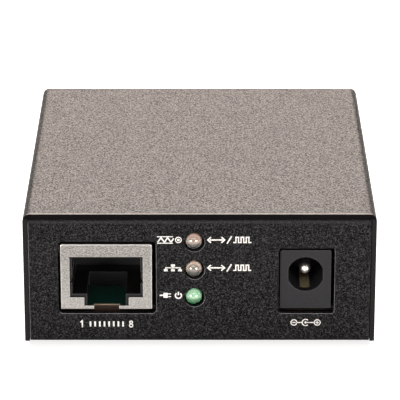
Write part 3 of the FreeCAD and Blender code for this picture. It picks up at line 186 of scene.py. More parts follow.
def rubber():
    """Dull black rubber with a pale bloom in patches."""
    material, tree, mm = start_material("black_rubber")
    dust = add(tree, "ShaderNodeTexNoise", {"Vector": mm, "Scale": 1 / FOOT_DUST, "Detail": 5.0})
    colour = add(tree, "ShaderNodeMix", {"Factor": dust.outputs["Fac"], "A": linear("#141414"),
                                         "B": linear("#2c2b2a")}, data_type="RGBA")
    grain = add(tree, "ShaderNodeTexNoise", {"Vector": mm, "Scale": 1 / RUBBER_GRAIN, "Detail": 2.0})
    skin = add(tree, "ShaderNodeBump", {"Height": grain.outputs["Fac"], "Strength": 0.3,
                                        "Distance": RUBBER_HEIGHT * MM})
    shader = add(tree, "ShaderNodeBsdfPrincipled", {
        "Base Color": colour.outputs["Result"], "Roughness": 0.85, "Specular IOR Level": 0.3,
        "Normal": skin.outputs["Normal"]})
    return end_material(material, tree, shader)


finish_node("rubber_feet", rubber())

# Standoffs and board screws: mild steel turned or headed from bar, then zinc plated.
# The standoffs are pressed into the floor and the screws hold the board down on them.
# Plate is satin with a fine grain of light and dull lines, and its edges carry a painted highlight.

PLATE_HEIGHT = 0.02
# Tones painted in as light: the plate paler lower down, and near white as a highlight on edges and bends
PAINTED_LIGHT_TONE = "#e4e1de"
EDGE_HIGHLIGHT_TONE = "#f6f2ee"


def plated_metal(name, colour, dull, roughness, grain_size, stretch=(1, 1, 1), rounding=0.12, bend_highlight=0.0,
                 painted_light_levels=None):
    """Plate on metal: a grain drawn out along the way it was rolled, with a painted highlight on edges.

    Bends between faces that look along y and the others get a painted highlight of the given strength. The
    plate is painted paler as light from the second of two given levels, in mm, down to the first.
    """
    material, tree, mm = start_material(name)
    drawn = add(tree, "ShaderNodeMapping", {"Vector": mm, "Scale": stretch})
    lines = add(tree, "ShaderNodeTexNoise", {"Vector": drawn.outputs["Vector"], "Scale": 1 / grain_size,
                                             "Detail": 3.0}).outputs["Fac"]
    grit = add(tree, "ShaderNodeMapRange", {"Value": lines, "From Min": 0.34, "From Max": 0.66})
    tone = add(tree, "ShaderNodeMix", {"Factor": grit.outputs["Result"], "A": linear(colour),
                                       "B": linear(dull)}, data_type="RGBA")
    shine = add(tree, "ShaderNodeMapRange", {"Value": lines, "From Min": 0.3, "From Max": 0.7,
                                             "To Min": roughness - 0.06, "To Max": roughness + 0.08})
    rounded, edge = edge_rounding(tree, rounding)
    true = add(tree, "ShaderNodeNewGeometry").outputs["Normal"]
    way = add(tree, "ShaderNodeSeparateXYZ", {"Vector": true})
    facing = add(tree, "ShaderNodeMath", {0: way.outputs["Y"]}, operation="ABSOLUTE").outputs[0]
    turned = add(tree, "ShaderNodeMapRange", {"Value": facing, "From Min": 0.99, "From Max": 0.85,
                                              "To Max": bend_highlight})
    beyond = add(tree, "ShaderNodeMapRange", {"Value": facing, "From Min": 0.1, "From Max": 0.2})
    highlight_bends = add(tree, "ShaderNodeMath", {0: turned.outputs["Result"], 1: beyond.outputs["Result"]},
                 operation="MULTIPLY")
    painted_highlight = add(tree, "ShaderNodeMath", {0: edge, 1: highlight_bends.outputs[0]}, operation="MAXIMUM")
    # Painted light: the plate is made paler towards its lower part
    if painted_light_levels:
        height = add(tree, "ShaderNodeSeparateXYZ", {"Vector": mm})
        share = add(tree, "ShaderNodeMapRange", {"Value": height.outputs["Z"], "From Min": painted_light_levels[1],
                                                 "From Max": painted_light_levels[0], "To Max": 0.25})
        tone = add(tree, "ShaderNodeMix", {"Factor": share.outputs["Result"], "A": tone.outputs["Result"],
                                           "B": linear(PAINTED_LIGHT_TONE)}, data_type="RGBA")
    # Painted highlight: edges and bends are mixed towards a near-white tone
    bright = add(tree, "ShaderNodeMix", {"Factor": painted_highlight.outputs[0], "A": tone.outputs["Result"],
                                         "B": linear(EDGE_HIGHLIGHT_TONE)}, data_type="RGBA")
    skin = add(tree, "ShaderNodeBump", {"Height": lines, "Strength": 0.25, "Distance": PLATE_HEIGHT * MM,
                                        "Normal": rounded})
    metal = add(tree, "ShaderNodeBsdfPrincipled", {
        "Base Color": bright.outputs["Result"], "Metallic": 1.0, "Roughness": shine.outputs["Result"],
        "Normal": skin.outputs["Normal"]})
    return end_material(material, tree, metal)


zinc = plated_metal("zinc_plate", "#c3c5c8", "#9b9da1", 0.34, 0.3)
finish_node("board_standoffs", zinc)
finish_node("board_screws", zinc)

# Circuit board: 1.6 mm glass-epoxy laminate with copper tracks under green solder mask.
# Behind the LAN socket's key slot the mask stops short, so a thin tan rim and the brown sawn edge show. The
# rim is painted very pale, partly as a highlight, and elsewhere the sawn edge is painted near black as shade.
# It rests on the standoffs.

TRACK_PITCH = 1.1
TRACK_HEIGHT = 0.03
BARE_RIM = 0.5
KEY_HALF = 2.3
FIBRE_SIZE = 0.2
board_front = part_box("circuit_board")[0].y / MM
shield_low, shield_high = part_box("lan_jack_shield")
lan_middle = (shield_low.x + shield_high.x) / 2 / MM


def solder_mask():
    """Green varnish over copper: tracks show as paler raised lines, and cut edges are bare laminate that is
    painted near black as shade outside the key slot.

    A face is a cut edge where its normal leans over, and bare where it lies in front of the rim and
    within the half width of the key slot.
    """
    material, tree, mm = start_material("solder_mask")
    tracks = add(tree, "ShaderNodeTexBrick", {
        "Vector": mm, "Scale": 1 / TRACK_PITCH, "Mortar Size": 0.12, "Mortar Smooth": 0.1,
        "Brick Width": 4.0, "Row Height": 0.6}, offset=0.5)
    flow = add(tree, "ShaderNodeTexNoise", {"Vector": mm, "Scale": 0.5, "Detail": 3.0})
    varnish = add(tree, "ShaderNodeMix", {"Factor": tracks.outputs["Fac"], "A": linear("#062a24"),
                                          "B": linear("#0d4438")}, data_type="RGBA")
    cloudy = add(tree, "ShaderNodeMix", {"Factor": flow.outputs["Fac"], "A": varnish.outputs["Result"],
                                         "B": linear("#08332c")}, data_type="RGBA")
    normal = add(tree, "ShaderNodeNewGeometry").outputs["Normal"]
    way = add(tree, "ShaderNodeSeparateXYZ", {"Vector": normal})
    flat = add(tree, "ShaderNodeMath", {0: way.outputs["Z"]}, operation="ABSOLUTE")
    cut = add(tree, "ShaderNodeMath", {0: flat.outputs[0], 1: 0.5}, operation="LESS_THAN")
    place = add(tree, "ShaderNodeSeparateXYZ", {"Vector": mm}).outputs
    off = add(tree, "ShaderNodeMath", {0: place["X"], 1: lan_middle}, operation="SUBTRACT")
    aside = add(tree, "ShaderNodeMath", {0: off.outputs[0]}, operation="ABSOLUTE")
    inside = add(tree, "ShaderNodeMath", {0: aside.outputs[0], 1: KEY_HALF}, operation="LESS_THAN").outputs[0]
    front = add(tree, "ShaderNodeMath", {0: place["Y"], 1: board_front + BARE_RIM}, operation="LESS_THAN")
    rim = add(tree, "ShaderNodeMath", {0: front.outputs[0], 1: inside}, operation="MULTIPLY")
    # The bare rim is painted very pale: partly the laminate's own tan, partly a painted highlight
    top = add(tree, "ShaderNodeMix", {"Factor": rim.outputs[0], "A": cloudy.outputs["Result"],
                                      "B": linear("#ffdfbf")}, data_type="RGBA")
    fibres = add(tree, "ShaderNodeTexNoise", {"Vector": mm, "Scale": 1 / FIBRE_SIZE, "Detail": 4.0})
    sawn = add(tree, "ShaderNodeMix", {"Factor": fibres.outputs["Fac"], "A": linear("#1e1511"),
                                       "B": linear("#33261e")}, data_type="RGBA")
    # Painted shade: outside the key slot the sawn edge is near black
    edge_with_shade = add(tree, "ShaderNodeMix", {"Factor": inside, "A": linear("#120e0b"),
                                       "B": sawn.outputs["Result"]}, data_type="RGBA")
    colour = add(tree, "ShaderNodeMix", {"Factor": cut.outputs[0], "A": top.outputs["Result"],
                                         "B": edge_with_shade.outputs["Result"]}, data_type="RGBA")
    raised = add(tree, "ShaderNodeBump", {"Height": tracks.outputs["Fac"], "Strength": 0.5,
                                          "Distance": TRACK_HEIGHT * MM})
    shader = add(tree, "ShaderNodeBsdfPrincipled", {
        "Base Color": colour.outputs["Result"], "Roughness": 0.3, "Normal": raised.outputs["Normal"]})
    return end_material(material, tree, shader)


finish_node("circuit_board", solder_mask())

# LAN socket: a folded shield of satin nickel-plated steel round a black moulding with eight spring wires.
# The shield is stamped and bent, so its faces are satin; its bends carry a painted highlight and its lower
# part is painted paler as light. Posts solder it to the board.
# The rolled grain is finer on the real sheet, and is drawn at 0.22 mm so that it shows.

NICKEL_GRAIN = 0.22
NICKEL_STRETCH = (0.8, 1, 1.1)
finish_node("lan_jack_shield", plated_metal(
    "shield_nickel", "#b0aeac", "#6a6866", 0.34, NICKEL_GRAIN, NICKEL_STRETCH, bend_highlight=1.0,
    painted_light_levels=(shield_low.z / MM + 2, shield_high.z / MM - 2)))

# Pale tone painted on the edges of mouldings as a highlight
PALE_EDGE_HIGHLIGHT = "#504f51"
INSIDE_DUST = "#2c2c2e"
# Depths behind the mouth, in mm, between which the dust sets in
FAR_WALL = (10.5, 11.5)


def moulding(name, colour, roughness, grain_size, height, specular=0.5, mouth=None):
    """Black moulded plastic with the spark-eroded skin of its tool, and a pale painted highlight on its
    edges.

    Where the y of its mouth is given, in mm, its far wall is dusty.
    """
    material, tree, mm = start_material(name)
    spark = add(tree, "ShaderNodeTexNoise", {"Vector": mm, "Scale": 1 / grain_size,
                                             "Detail": 2.0}).outputs["Fac"]
    cloud = add(tree, "ShaderNodeMapRange", {"Value": spark, "From Min": 0.35, "From Max": 0.65})
    body = linear(colour)
    paler = [min(1.0, part * 1.9) for part in body[:3]] + [1.0]
    tone = add(tree, "ShaderNodeMix", {"Factor": cloud.outputs["Result"], "A": body, "B": paler},
               data_type="RGBA")
    if mouth is not None:
        along = add(tree, "ShaderNodeSeparateXYZ", {"Vector": mm})
        deep = add(tree, "ShaderNodeMapRange", {"Value": along.outputs["Y"], "From Min": mouth + FAR_WALL[0],
                                                "From Max": mouth + FAR_WALL[1]})
        tone = add(tree, "ShaderNodeMix", {"Factor": deep.outputs["Result"], "A": tone.outputs["Result"],
                                           "B": linear(INSIDE_DUST)}, data_type="RGBA")
    rounded, edge = edge_rounding(tree, 0.14)
    # Painted highlight: edges mixed towards a pale tone
    edge_highlight = add(tree, "ShaderNodeMix", {"Factor": edge, "A": tone.outputs["Result"], "B": linear(PALE_EDGE_HIGHLIGHT)},
               data_type="RGBA")
    matt = add(tree, "ShaderNodeMix", {"Factor": edge, "A": roughness, "B": 0.25})
    skin = add(tree, "ShaderNodeBump", {"Height": spark, "Strength": 0.5, "Distance": height * MM,
                                        "Normal": rounded})
    shader = add(tree, "ShaderNodeBsdfPrincipled", {
        "Base Color": edge_highlight.outputs["Result"], "Roughness": matt.outputs["Result"],
        "Specular IOR Level": specular, "Normal": skin.outputs["Normal"]})
    return end_material(material, tree, shader)


finish_node("lan_jack_housing", moulding("black_polyester", "#060607", 0.42, 0.2, 0.02, 0.3,
                                         mouth=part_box("lan_jack_housing")[0].y / MM))

gold_flash = plated_metal("gold_flash", "#e8c06a", "#c99b4a", 0.24, 0.2)
finish_node("lan_jack_contacts", gold_flash)

# Power socket: a barrel socket in one black moulding, its nickel-plated pin riveted through the back.
# A phosphor bronze leaf spring in the bore presses on the plug; pin and spring end in tails in the board.

finish_node("power_jack_housing", moulding("black_nylon", "#17171a", 0.42, 0.22, 0.03, 0.28))
bright_tin = plated_metal("bright_tin", "#e3ded6", "#cfc9c0", 0.2, 0.25)
finish_node("power_jack_pin", plated_metal("satin_pin_nickel", "#f6f3ee", "#dcd8d0", 0.37, 0.25))
finish_node("power_jack_terminal", bright_tin)
finish_node("power_jack_spring", plated_metal("phosphor_bronze", "#fff3cf", "#e8d8a8", 0.5, 0.25,
                                              rounding=0.3))

# Indicator lamps: three 3 mm light-emitting diodes cast in milky epoxy, pushed into an upright nylon block.
# Only the lowest is lit, in green. Their tinned leads bend down into the board.


def epoxy(name, lamp, lit_upper, upper_highlight, deep, rim, glow=None, strength=0.0):
    """Milky cast epoxy, painted as lit: pale above with a painted highlight towards its edge, painted shade
    below, and a painted highlight round its lower edge.

    The tones follow the height above the lamp's axis and the distance from it, in mm.
    """
    material, tree, mm = start_material(name)
    low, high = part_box(lamp)
    axis = tuple((low[i] + high[i]) / 2 / MM for i in range(3))
    off = add(tree, "ShaderNodeVectorMath", {0: mm, 1: axis}, operation="SUBTRACT")
    flat = add(tree, "ShaderNodeVectorMath", {0: off.outputs["Vector"], 1: (1.0, 0.0, 1.0)},
               operation="MULTIPLY").outputs["Vector"]
    out = add(tree, "ShaderNodeVectorMath", {0: flat}, operation="LENGTH")
    height = add(tree, "ShaderNodeSeparateXYZ", {"Vector": flat})
    # Painted light: paler above the axis, painted shade below it
    shaded_below = add(tree, "ShaderNodeMapRange", {"Value": height.outputs["Z"], "From Min": 0.25,
                                             "From Max": -0.45}, interpolation_type="SMOOTHSTEP")
    edge = add(tree, "ShaderNodeMapRange", {"Value": out.outputs["Value"], "From Min": 0.95,
                                            "From Max": 1.28}, interpolation_type="SMOOTHSTEP")
    edge = edge.outputs["Result"]
    cloud = add(tree, "ShaderNodeTexNoise", {"Vector": mm, "Scale": 2.2, "Detail": 2.0})
    # Painted highlight towards the upper edge
    milk = add(tree, "ShaderNodeMath", {0: cloud.outputs["Fac"], 1: 0.15, 2: edge},
               operation="MULTIPLY_ADD", use_clamp=True)
    paler = add(tree, "ShaderNodeMix", {"Factor": milk.outputs[0], "A": linear(lit_upper), "B": linear(upper_highlight)},
                data_type="RGBA")
    # Painted highlight: the shaded lower half lightens again round its edge
    deeper = add(tree, "ShaderNodeMix", {"Factor": edge, "A": linear(deep), "B": linear(rim)},
                 data_type="RGBA")
    tone = add(tree, "ShaderNodeMix", {"Factor": shaded_below.outputs["Result"], "A": paler.outputs["Result"],
                                       "B": deeper.outputs["Result"]}, data_type="RGBA")
    # The coat's index is higher than that of epoxy, so that the studio lights show as two bright dots
    inputs = {"Base Color": tone.outputs["Result"], "Roughness": 0.08, "IOR": 1.54,
              "Specular IOR Level": 0.9, "Subsurface Weight": 0.2, "Subsurface Scale": 0.3 * MM,
              "Coat Weight": 1.0, "Coat Roughness": 0.04, "Coat IOR": 1.8}
    if glow:
        inputs["Emission Color"] = linear(glow)
        inputs["Emission Strength"] = strength
    return end_material(material, tree, add(tree, "ShaderNodeBsdfPrincipled", inputs))


# Each lamp's tones: a lit upper tone, its highlight, a shaded lower tone and its edge highlight, all painted
finish_node("led_fibre", epoxy("fibre_lamp_epoxy", "led_fibre", lit_upper="#957a6d", upper_highlight="#dcc0b2",
                               deep="#1d1a18", rim="#a8a29c"))
finish_node("led_lan", epoxy("lan_lamp_epoxy", "led_lan", lit_upper="#6a5d52", upper_highlight="#f0dcc8",
                             deep="#1b1816", rim="#a8a098"))
finish_node("led_power", epoxy("power_lamp_epoxy", "led_power", lit_upper="#8abd95", upper_highlight="#bce6c2",
                               deep="#25653d", rim="#86c796", glow="#3cc65c", strength=0.06))
finish_node("led_holder", moulding("lamp_block_nylon", "#1c1c1c", 0.5, 0.3, 0.02))
finish_node("led_leads", bright_tin)

# Fibre port: a cage of nickel-plated sheet whose pins press into the board, and a spring collar round
# its mouth. Inside its far end a black connector grips the edge of the module's own board.

satin_nickel = plated_metal("satin_nickel", "#aaa8a6", "#6c6a68", 0.34, NICKEL_GRAIN, NICKEL_STRETCH,
                            bend_highlight=1.0)
finish_node("fibre_cage", satin_nickel)
finish_node("fibre_cage_collar", plated_metal("spring_bronze", "#d8cfa9", "#b9ac80", 0.3, 0.2))
finish_node("fibre_connector", moulding("connector_polymer", "#151515", 0.45, 0.2, 0.02))
finish_node("fibre_connector_contacts", gold_flash)

# Parts on the board: moulded chips, a ferrite inductor, capacitors, a crystal and small ceramic parts.
# They are soldered down by tinned leads.

chip_compound = moulding("moulding_compound", "#202020", 0.6, 0.12, 0.02)
for chip in ("lan_transformer", "converter_chip", "memory_chip", "voltage_regulator"):
    finish_node(chip, chip_compound)
    finish_node(chip + "_leads", bright_tin)
finish_node("capacitor_bases", chip_compound)
finish_node("power_inductor", moulding("sintered_ferrite", "#39373a", 0.7, 0.35, 0.05))
finish_node("capacitor_cans", plated_metal("drawn_aluminium", "#d6d7d8", "#bcbec0", 0.28, 0.4))
finish_node("crystal_can", satin_nickel)
finish_node("small_components", moulding("fired_ceramic", "#8c6a4e", 0.5, 0.3, 0.01))

# Front legend: signs silk-screened in white ink on the front wall. Beside the lamps are a ray in a light
# guide, a network tree and a plug by a power sign, the first two with both-way arrows and a pulse train for
# traffic. The LAN socket's contacts are numbered below it, and the power socket has its polarity sign.
# Their places are in millimetres from the middle of the wall.

INK_FILM = 0.02
INK_STROKE = 0.24
INK_THIN = 0.17
INK_DOT = 0.2
wall_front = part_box("base_chassis")[0].y / MM
ink_points = []
ink_faces = []


def ink_line(path, width=INK_STROKE, closed=False):
    """A line of ink through points (x, z) of the wall, its corners mitred.

    Where lines with unit normals a and b meet at p, its two edges pass p +- (a + b) / (1 + a.b) * width / 2.
    """
    path = np.array(path, dtype=float)
    ahead = np.roll(path, -1, axis=0) - path
    ahead /= np.maximum(np.linalg.norm(ahead, axis=1, keepdims=True), 1e-9)
    normal = np.stack((-ahead[:, 1], ahead[:, 0]), axis=1)
    before = np.roll(normal, 1, axis=0)
    if not closed:
        normal[-1] = normal[-2]
        before[0] = normal[0]
    mitre = (normal + before) / (1 + np.sum(normal * before, axis=1, keepdims=True)) * width / 2
    start = len(ink_points)
    for x, z in np.stack((path - mitre, path + mitre), axis=1).reshape(-1, 2):
        ink_points.append((x, wall_front, z))
        ink_points.append((x, wall_front - INK_FILM, z))
    count = len(path)
    for number in range(count if closed else count - 1):
        low = start + number * 4
        high = start + (number + 1) % count * 4
        ink_faces.extend([(low + 1, high + 1, high + 3, low + 3), (low, high, high + 1, low + 1),
                          (low + 2, low + 3, high + 3, high + 2)])
    if not closed:
        for end in (start, start + (count - 1) * 4):
            ink_faces.append((end, end + 1, end + 3, end + 2))


def arc(x, z, radius, begin=0.0, end=360.0, steps=28):
    """Points of an arc from begin to end, in degrees from the right: (x + r cos t, z + r sin t)."""
    turn = np.radians(np.linspace(begin, end, steps, endpoint=end - begin < 360))
    return np.stack((x + radius * np.cos(turn), z + radius * np.sin(turn)), axis=1)


def ring(x, z, radius, width=INK_THIN):
    """A closed circle of ink round (x, z)."""
    ink_line(arc(x, z, radius), width, closed=True)


def block(x, z, across, up):
    """A filled rectangle round (x, z)."""
    ink_line([(x - across / 2, z), (x + across / 2, z)], up)


def lamp_level(lamp):
    """The height of a lamp's middle, in mm."""
    low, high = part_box(lamp)
    return (low.z + high.z) / 2 / MM


ARROW_TIPS = (1.42, 4.33)
BARB_BACK = 0.55
BARB_HALF = 0.52
PULSE_LOW = -0.48
PULSE_HIGH = 0.5
PULSE_START = 6.3
PULSE_WIDTH = 0.45
PULSE_COUNT = 3


def traffic(level):
    """Arrows both ways, a stroke, and a train of pulses."""
    left, right = ARROW_TIPS
    ink_line([(left + 0.33, level), (right - 0.33, level)])
    for tip, back in ((left, BARB_BACK), (right, -BARB_BACK)):
        ink_line([(tip + back, level + BARB_HALF), (tip, level), (tip + back, level - BARB_HALF)])
    ink_line([(4.75, level - 0.7), (5.55, level + 0.68)])
    low = level + PULSE_LOW
    high = level + PULSE_HIGH
    wave = [(PULSE_START - PULSE_WIDTH, low), (PULSE_START, low)]
    for number in range(PULSE_COUNT):
        rise = PULSE_START + 2 * PULSE_WIDTH * number
        fall = rise + PULSE_WIDTH
        wave += [(rise, high), (fall, high), (fall, low), (fall + PULSE_WIDTH, low)]
    ink_line(wave, 0.22)


# Ray in a light guide, and the guide's round end
GUIDE_LEFT = -7.4
GUIDE_RIGHT = -4.65
GUIDE_HALF = 0.6
GUIDE_END = -3.7
RAY_STEP = 0.58
RAY_HALF = 0.42
level = lamp_level("led_fibre") + 0.46
for side in (GUIDE_HALF, -GUIDE_HALF):
    ink_line([(GUIDE_LEFT, level + side), (GUIDE_RIGHT, level + side)], INK_THIN)
ray = [(GUIDE_LEFT + 0.1 + RAY_STEP * turn, level - RAY_HALF * (-1) ** turn) for turn in range(5)]
ink_line(ray + [(GUIDE_RIGHT + 0.15, level + 0.28)])
ring(GUIDE_END, level, 0.5)
ring(GUIDE_END, level, 0.14, INK_DOT)
traffic(level)

# Network tree: one box over three
TREE_MIDDLE = -4.67
TREE_REACH = 1.25
BRANCH_FOOT = -0.3
tree_left = TREE_MIDDLE - TREE_REACH
tree_right = TREE_MIDDLE + TREE_REACH
level = lamp_level("led_lan") + 0.42
foot = level + BRANCH_FOOT
block(TREE_MIDDLE, level + 0.43, 0.72, 0.44)
ink_line([(TREE_MIDDLE, level + 0.25), (TREE_MIDDLE, foot)], INK_THIN)
ink_line([(tree_left, foot), (tree_left, level), (tree_right, level), (tree_right, foot)], INK_THIN)
for across in (tree_left, TREE_MIDDLE, tree_right):
    block(across, level - 0.45, 0.66, 0.42)
traffic(level)

# Plug on a cord, and the power sign
PLUG_MIDDLE = -5.98
PLUG_ACROSS = 0.74
PRONG_OFF = 0.26
POWER_SIGN = -3.72
plug_left = PLUG_MIDDLE - PLUG_ACROSS / 2
plug_right = PLUG_MIDDLE + PLUG_ACROSS / 2
level = lamp_level("led_power") + 0.42
ink_line([(-7.0, level), (plug_left, level)])
block(PLUG_MIDDLE, level, PLUG_ACROSS, 0.94)
for up in (-PRONG_OFF, PRONG_OFF):
    ink_line([(plug_right, level + up), (-5.0, level + up)], INK_THIN)
ink_line(arc(POWER_SIGN, level - 0.06, 0.53, 128, 412))
ink_line([(POWER_SIGN, level + 0.02), (POWER_SIGN, level + 0.66)])

# Contacts numbered under the LAN socket
CONTACT_LEVEL = 4.65
CONTACT_COUNT = 8
CONTACT_APART = 0.82
for number in range(CONTACT_COUNT):
    across = lan_middle + (number - (CONTACT_COUNT - 1) / 2) * CONTACT_APART
    ink_line([(across, CONTACT_LEVEL - 0.5), (across, CONTACT_LEVEL + 0.5)], 0.3)
one = lan_middle - 4.3
eight = lan_middle + 4.28
ink_line([(one - 0.32, CONTACT_LEVEL + 0.3), (one, CONTACT_LEVEL + 0.58), (one, CONTACT_LEVEL - 0.64)])
ring(eight, CONTACT_LEVEL + 0.31, 0.24, INK_DOT)
ring(eight, CONTACT_LEVEL - 0.31, 0.29, INK_DOT)

# Polarity under the power socket: the ring is minus and the middle plus
POLARITY_LEVEL = 4.92
POLE_OFF = 2.05
POLE_RADIUS = 0.52
POLE_MARK = 0.56
POLE_STROKE = 0.18
CUP_RADIUS = 0.6
power_low, power_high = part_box("power_jack_housing")
middle = (power_low.x + power_high.x) / 2 / MM + 0.1
minus = middle - POLE_OFF
plus = middle + POLE_OFF
for pole in (minus, plus):
    ring(pole, POLARITY_LEVEL, POLE_RADIUS)
    block(pole, POLARITY_LEVEL, POLE_MARK, POLE_STROKE)
block(plus, POLARITY_LEVEL, POLE_STROKE, POLE_MARK)
ink_line([(minus + POLE_RADIUS, POLARITY_LEVEL), (middle - CUP_RADIUS - 0.02, POLARITY_LEVEL)], INK_THIN)
ink_line(arc(middle, POLARITY_LEVEL, CUP_RADIUS, 48, 312), INK_THIN)
ring(middle, POLARITY_LEVEL, 0.1, INK_DOT)
ink_line([(middle + 0.15, POLARITY_LEVEL), (plus - POLE_RADIUS, POLARITY_LEVEL)], INK_THIN)

legend_mesh = bpy.data.meshes.new("front_legend")
legend_mesh.from_pydata([tuple(part * MM for part in point) for point in ink_points], [], ink_faces)
legend = bpy.data.objects.new("front_legend", legend_mesh)
bpy.context.scene.collection.objects.link(legend)


def screen_ink():
    """White ink, thin enough that the coat's grain breaks it up a little."""
    material, tree, mm = start_material("screen_ink")
    grain = add(tree, "ShaderNodeTexNoise", {"Vector": mm, "Scale": 1 / COAT_GRAIN, "Detail": 2.0})
    cover = add(tree, "ShaderNodeMapRange", {"Value": grain.outputs["Fac"], "From Min": 0.3, "From Max": 0.6})
    tone = add(tree, "ShaderNodeMix", {"Factor": cover.outputs["Result"], "A": linear("#bdbbb9"),
                                       "B": linear("#efedea")}, data_type="RGBA")
    ink = add(tree, "ShaderNodeBsdfPrincipled", {"Base Color": tone.outputs["Result"], "Roughness": 0.6})
    return end_material(material, tree, ink)


legend_mesh.materials.append(screen_ink())
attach(legend, "root")

# Top cover: one sheet of 0.8 mm steel folded into the top and both sides, powder coated like the base.
# It drops over the base, and four countersunk screws hold it to the base's tabs.
# Its flecks are coarser than the base's, and its coat runs thin and dark over the side bends.

# Its upward edges get only a faint painted highlight
cover_coat = powder_coat("dark_powder_coat", body="#0c0b0b", fleck="#3a3633", edge_highlight="#1c1b1a",
                         fleck_share=0.45, roughness=0.4, specular=0.5, grain_size=0.27, rounding=0.9,
                         side_gloss=0.3)
cover_low, cover_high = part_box("top_cover")
# How far the painted shadow reaches down the front edge, and where the painted highlight strip lies behind
# it, in mm
CUT_EDGE_DROP = 0.95
HIGHLIGHT_BEHIND = 0.34
HIGHLIGHT_HALF = 0.2


def finish_cut_edge(material):
    """The coat is thin and dull on the sheet's front edge, and painted nearly black as shade along the top of
    it.

    A strip of the top face just behind that edge is painted pale as a highlight.
    """
    tree = material.node_tree
    paint = next(node for node in tree.nodes if node.type == "BSDF_PRINCIPLED")
    output = next(node for node in tree.nodes if node.type == "OUTPUT_MATERIAL")
    normal = add(tree, "ShaderNodeNewGeometry").outputs["Normal"]
    way = add(tree, "ShaderNodeSeparateXYZ", {"Vector": normal}).outputs
    whole = add(tree, "ShaderNodeTexCoord").outputs["Object"]
    place = add(tree, "ShaderNodeSeparateXYZ", {"Vector": whole}).outputs

    # Painted highlight: a pale strip on the top just behind its front edge
    near = add(tree, "ShaderNodeMath", {0: place["Y"], 1: cover_low.y + HIGHLIGHT_BEHIND * MM,
                                        2: HIGHLIGHT_HALF * MM}, operation="COMPARE")
    level = add(tree, "ShaderNodeMath", {0: way["Z"], 1: 0.9}, operation="GREATER_THAN")
    highlight_strip = add(tree, "ShaderNodeMath", {0: near.outputs[0], 1: level.outputs[0]}, operation="MULTIPLY")
    coat = paint.inputs["Base Color"].links[0].from_socket
    painted_highlight = add(tree, "ShaderNodeMix", {"Factor": highlight_strip.outputs[0], "A": coat, "B": linear("#7c756e")},
                 data_type="RGBA")
    tree.links.new(painted_highlight.outputs["Result"], paint.inputs["Base Color"])

    # Painted shade: the top of the front edge is near black
    shadow_band = add(tree, "ShaderNodeMath", {0: place["Z"], 1: cover_high.z - CUT_EDGE_DROP * MM},
                operation="GREATER_THAN")
    tone = add(tree, "ShaderNodeMix", {"Factor": shadow_band.outputs[0], "A": linear("#1f1e1f"),
                                       "B": linear("#070606")}, data_type="RGBA")
    dull = add(tree, "ShaderNodeBsdfPrincipled", {"Base Color": tone.outputs["Result"], "Roughness": 0.7,
                                                  "Specular IOR Level": 0.06})
    front = add(tree, "ShaderNodeMath", {0: way["Y"], 1: -0.8}, operation="LESS_THAN")
    mixed = add(tree, "ShaderNodeMixShader", {0: front.outputs[0], 1: paint.outputs[0], 2: dull.outputs[0]})
    tree.links.new(mixed.outputs[0], output.inputs["Surface"])
    return material


finish_node("top_cover", finish_cut_edge(cover_coat))
finish_node("cover_screws", zinc)

# Floor: a sheet of white paper under the object and all round it. It takes the object's shadow.

FLOOR_HALF = 1.2
FLOOR_LEVEL = -0.00002
corners = [(x * FLOOR_HALF, y * FLOOR_HALF, FLOOR_LEVEL) for x, y in ((-1, -1), (1, -1), (1, 1), (-1, 1))]
floor_mesh = bpy.data.meshes.new("floor")
floor_mesh.from_pydata(corners, [], [(0, 1, 2, 3)])
floor = bpy.data.objects.new("floor", floor_mesh)
bpy.context.scene.collection.objects.link(floor)

PAPER_LIFT = 0.72
MIRRORED_LIFT = 0.25


def white_paper():
    """Pale paper that the camera sees as white, apart from the object's shadow."""
    material, tree, mm = start_material("white_paper")
    fibre = add(tree, "ShaderNodeTexNoise", {"Vector": mm, "Scale": 0.8, "Detail": 3.0})
    tone = add(tree, "ShaderNodeMix", {"Factor": fibre.outputs["Fac"], "A": linear("#e9e8e6"),
                                       "B": linear("#e4e3e1")}, data_type="RGBA")
    paper = add(tree, "ShaderNodeBsdfDiffuse", {"Color": tone.outputs["Result"]})
    lift = add(tree, "ShaderNodeEmission", {"Color": (1, 1, 1, 1), "Strength": PAPER_LIFT})
    lifted = add(tree, "ShaderNodeAddShader", {0: paper.outputs[0], 1: lift.outputs[0]})
    ray = add(tree, "ShaderNodeLightPath").outputs
    mirrored = add(tree, "ShaderNodeMath", {0: ray["Is Glossy Ray"], 1: MIRRORED_LIFT}, operation="MULTIPLY")
    share = add(tree, "ShaderNodeMath", {0: ray["Is Camera Ray"], 1: mirrored.outputs[0]},
                operation="MAXIMUM")
    mixed = add(tree, "ShaderNodeMixShader", {0: share.outputs[0], 1: paper.outputs[0],
                                              2: lifted.outputs[0]})
    return end_material(material, tree, mixed)


floor_mesh.materials.append(white_paper())

# Room: white walls, dim for the light they give, brighter where metal and lamps mirror them.

ROOM_LIGHT = 0.22
MIRRORED_ROOM = 0.45
room = bpy.data.worlds.new("white_room")
bpy.context.scene.world = room
room.use_nodes = True
walls = room.node_tree
walls.nodes.clear()
ray = add(walls, "ShaderNodeLightPath").outputs
seen = add(walls, "ShaderNodeMath", {0: ray["Is Camera Ray"], 1: ray["Is Transmission Ray"]},
           operation="MAXIMUM")
strength = add(walls, "ShaderNodeMapRange", {"Value": ray["Is Glossy Ray"], "To Min": ROOM_LIGHT,
                                             "To Max": MIRRORED_ROOM})
dim = add(walls, "ShaderNodeBackground", {"Color": (1.0, 0.98, 0.97, 1.0),
                                          "Strength": strength.outputs["Result"]})
white = add(walls, "ShaderNodeBackground", {"Color": (1.0, 1.0, 1.0, 1.0), "Strength": 1.0})
both = add(walls, "ShaderNodeMixShader", {0: seen.outputs[0], 1: dim.outputs[0], 2: white.outputs[0]})
add(walls, "ShaderNodeOutputWorld", {"Surface": both.outputs[0]})

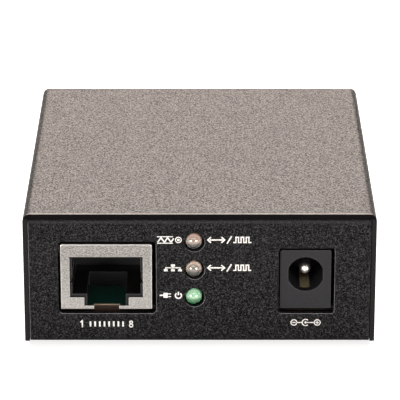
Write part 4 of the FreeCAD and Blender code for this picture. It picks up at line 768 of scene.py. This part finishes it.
# Studio lights: one over the object and one behind it light the top. Two stand low at its sides, light
# the front wall and show as two bright dots in each lamp. A weak one fills in from the front.

LIGHTS_AIM = (0.0, 0.0, 0.012)


def soft_light(name, place, width, height, power, colour):
    """A rectangular soft light at place, turned to face the object. Lengths are metres."""
    lamp = bpy.data.lights.new(name, "AREA")
    lamp.shape = "RECTANGLE"
    lamp.size = width
    lamp.size_y = height
    lamp.energy = power
    lamp.color = linear(colour)[:3]
    holder = bpy.data.objects.new(name, lamp)
    bpy.context.scene.collection.objects.link(holder)
    away = np.array(place) - np.array(LIGHTS_AIM)
    flat = math.hypot(away[0], away[1])
    holder.location = place
    holder.rotation_euler = (math.atan2(flat, away[2]), 0, math.atan2(away[0], -away[1]))


soft_light("back_light", (0.0, 0.9, 0.48), 0.7, 0.6, 4.2, "#ffe9dc")
soft_light("left_light", (-0.55, -0.71, 0.02), 0.38, 0.46, 7.4, "#fffaf6")
soft_light("right_light", (0.55, -0.71, 0.02), 0.38, 0.46, 7.4, "#fffaf6")
soft_light("top_light", (0.0, 0.34, 0.86), 0.9, 0.9, 14.0, "#fffaf6")
soft_light("front_light", (0.0, -0.75, 0.65), 1.0, 0.3, 2.0, "#fffaf6")

# Camera: the photograph's long lens, pitched down on the front wall.

PITCH = math.radians(21.11)
LENS_PIXELS = 2717.5
PICTURE = 400
DISTANCE = 474.7 * MM
ABOVE_AXIS = 13.58 * MM
front_middle = np.array((0.06, -33.9, 13.44)) * MM
forward = np.array((0, math.cos(PITCH), -math.sin(PITCH)))
upward = np.array((0, math.sin(PITCH), math.cos(PITCH)))
camera = bpy.data.objects.new("camera", bpy.data.cameras.new("camera"))
bpy.context.scene.collection.objects.link(camera)
camera.data.sensor_width = 36
camera.data.lens = LENS_PIXELS / PICTURE * camera.data.sensor_width
camera.location = front_middle - forward * DISTANCE + upward * ABOVE_AXIS
camera.rotation_euler = (math.radians(90) - PITCH, 0, 0)
bpy.context.scene.camera = camera
bpy.context.scene.view_settings.view_transform = "Standard"
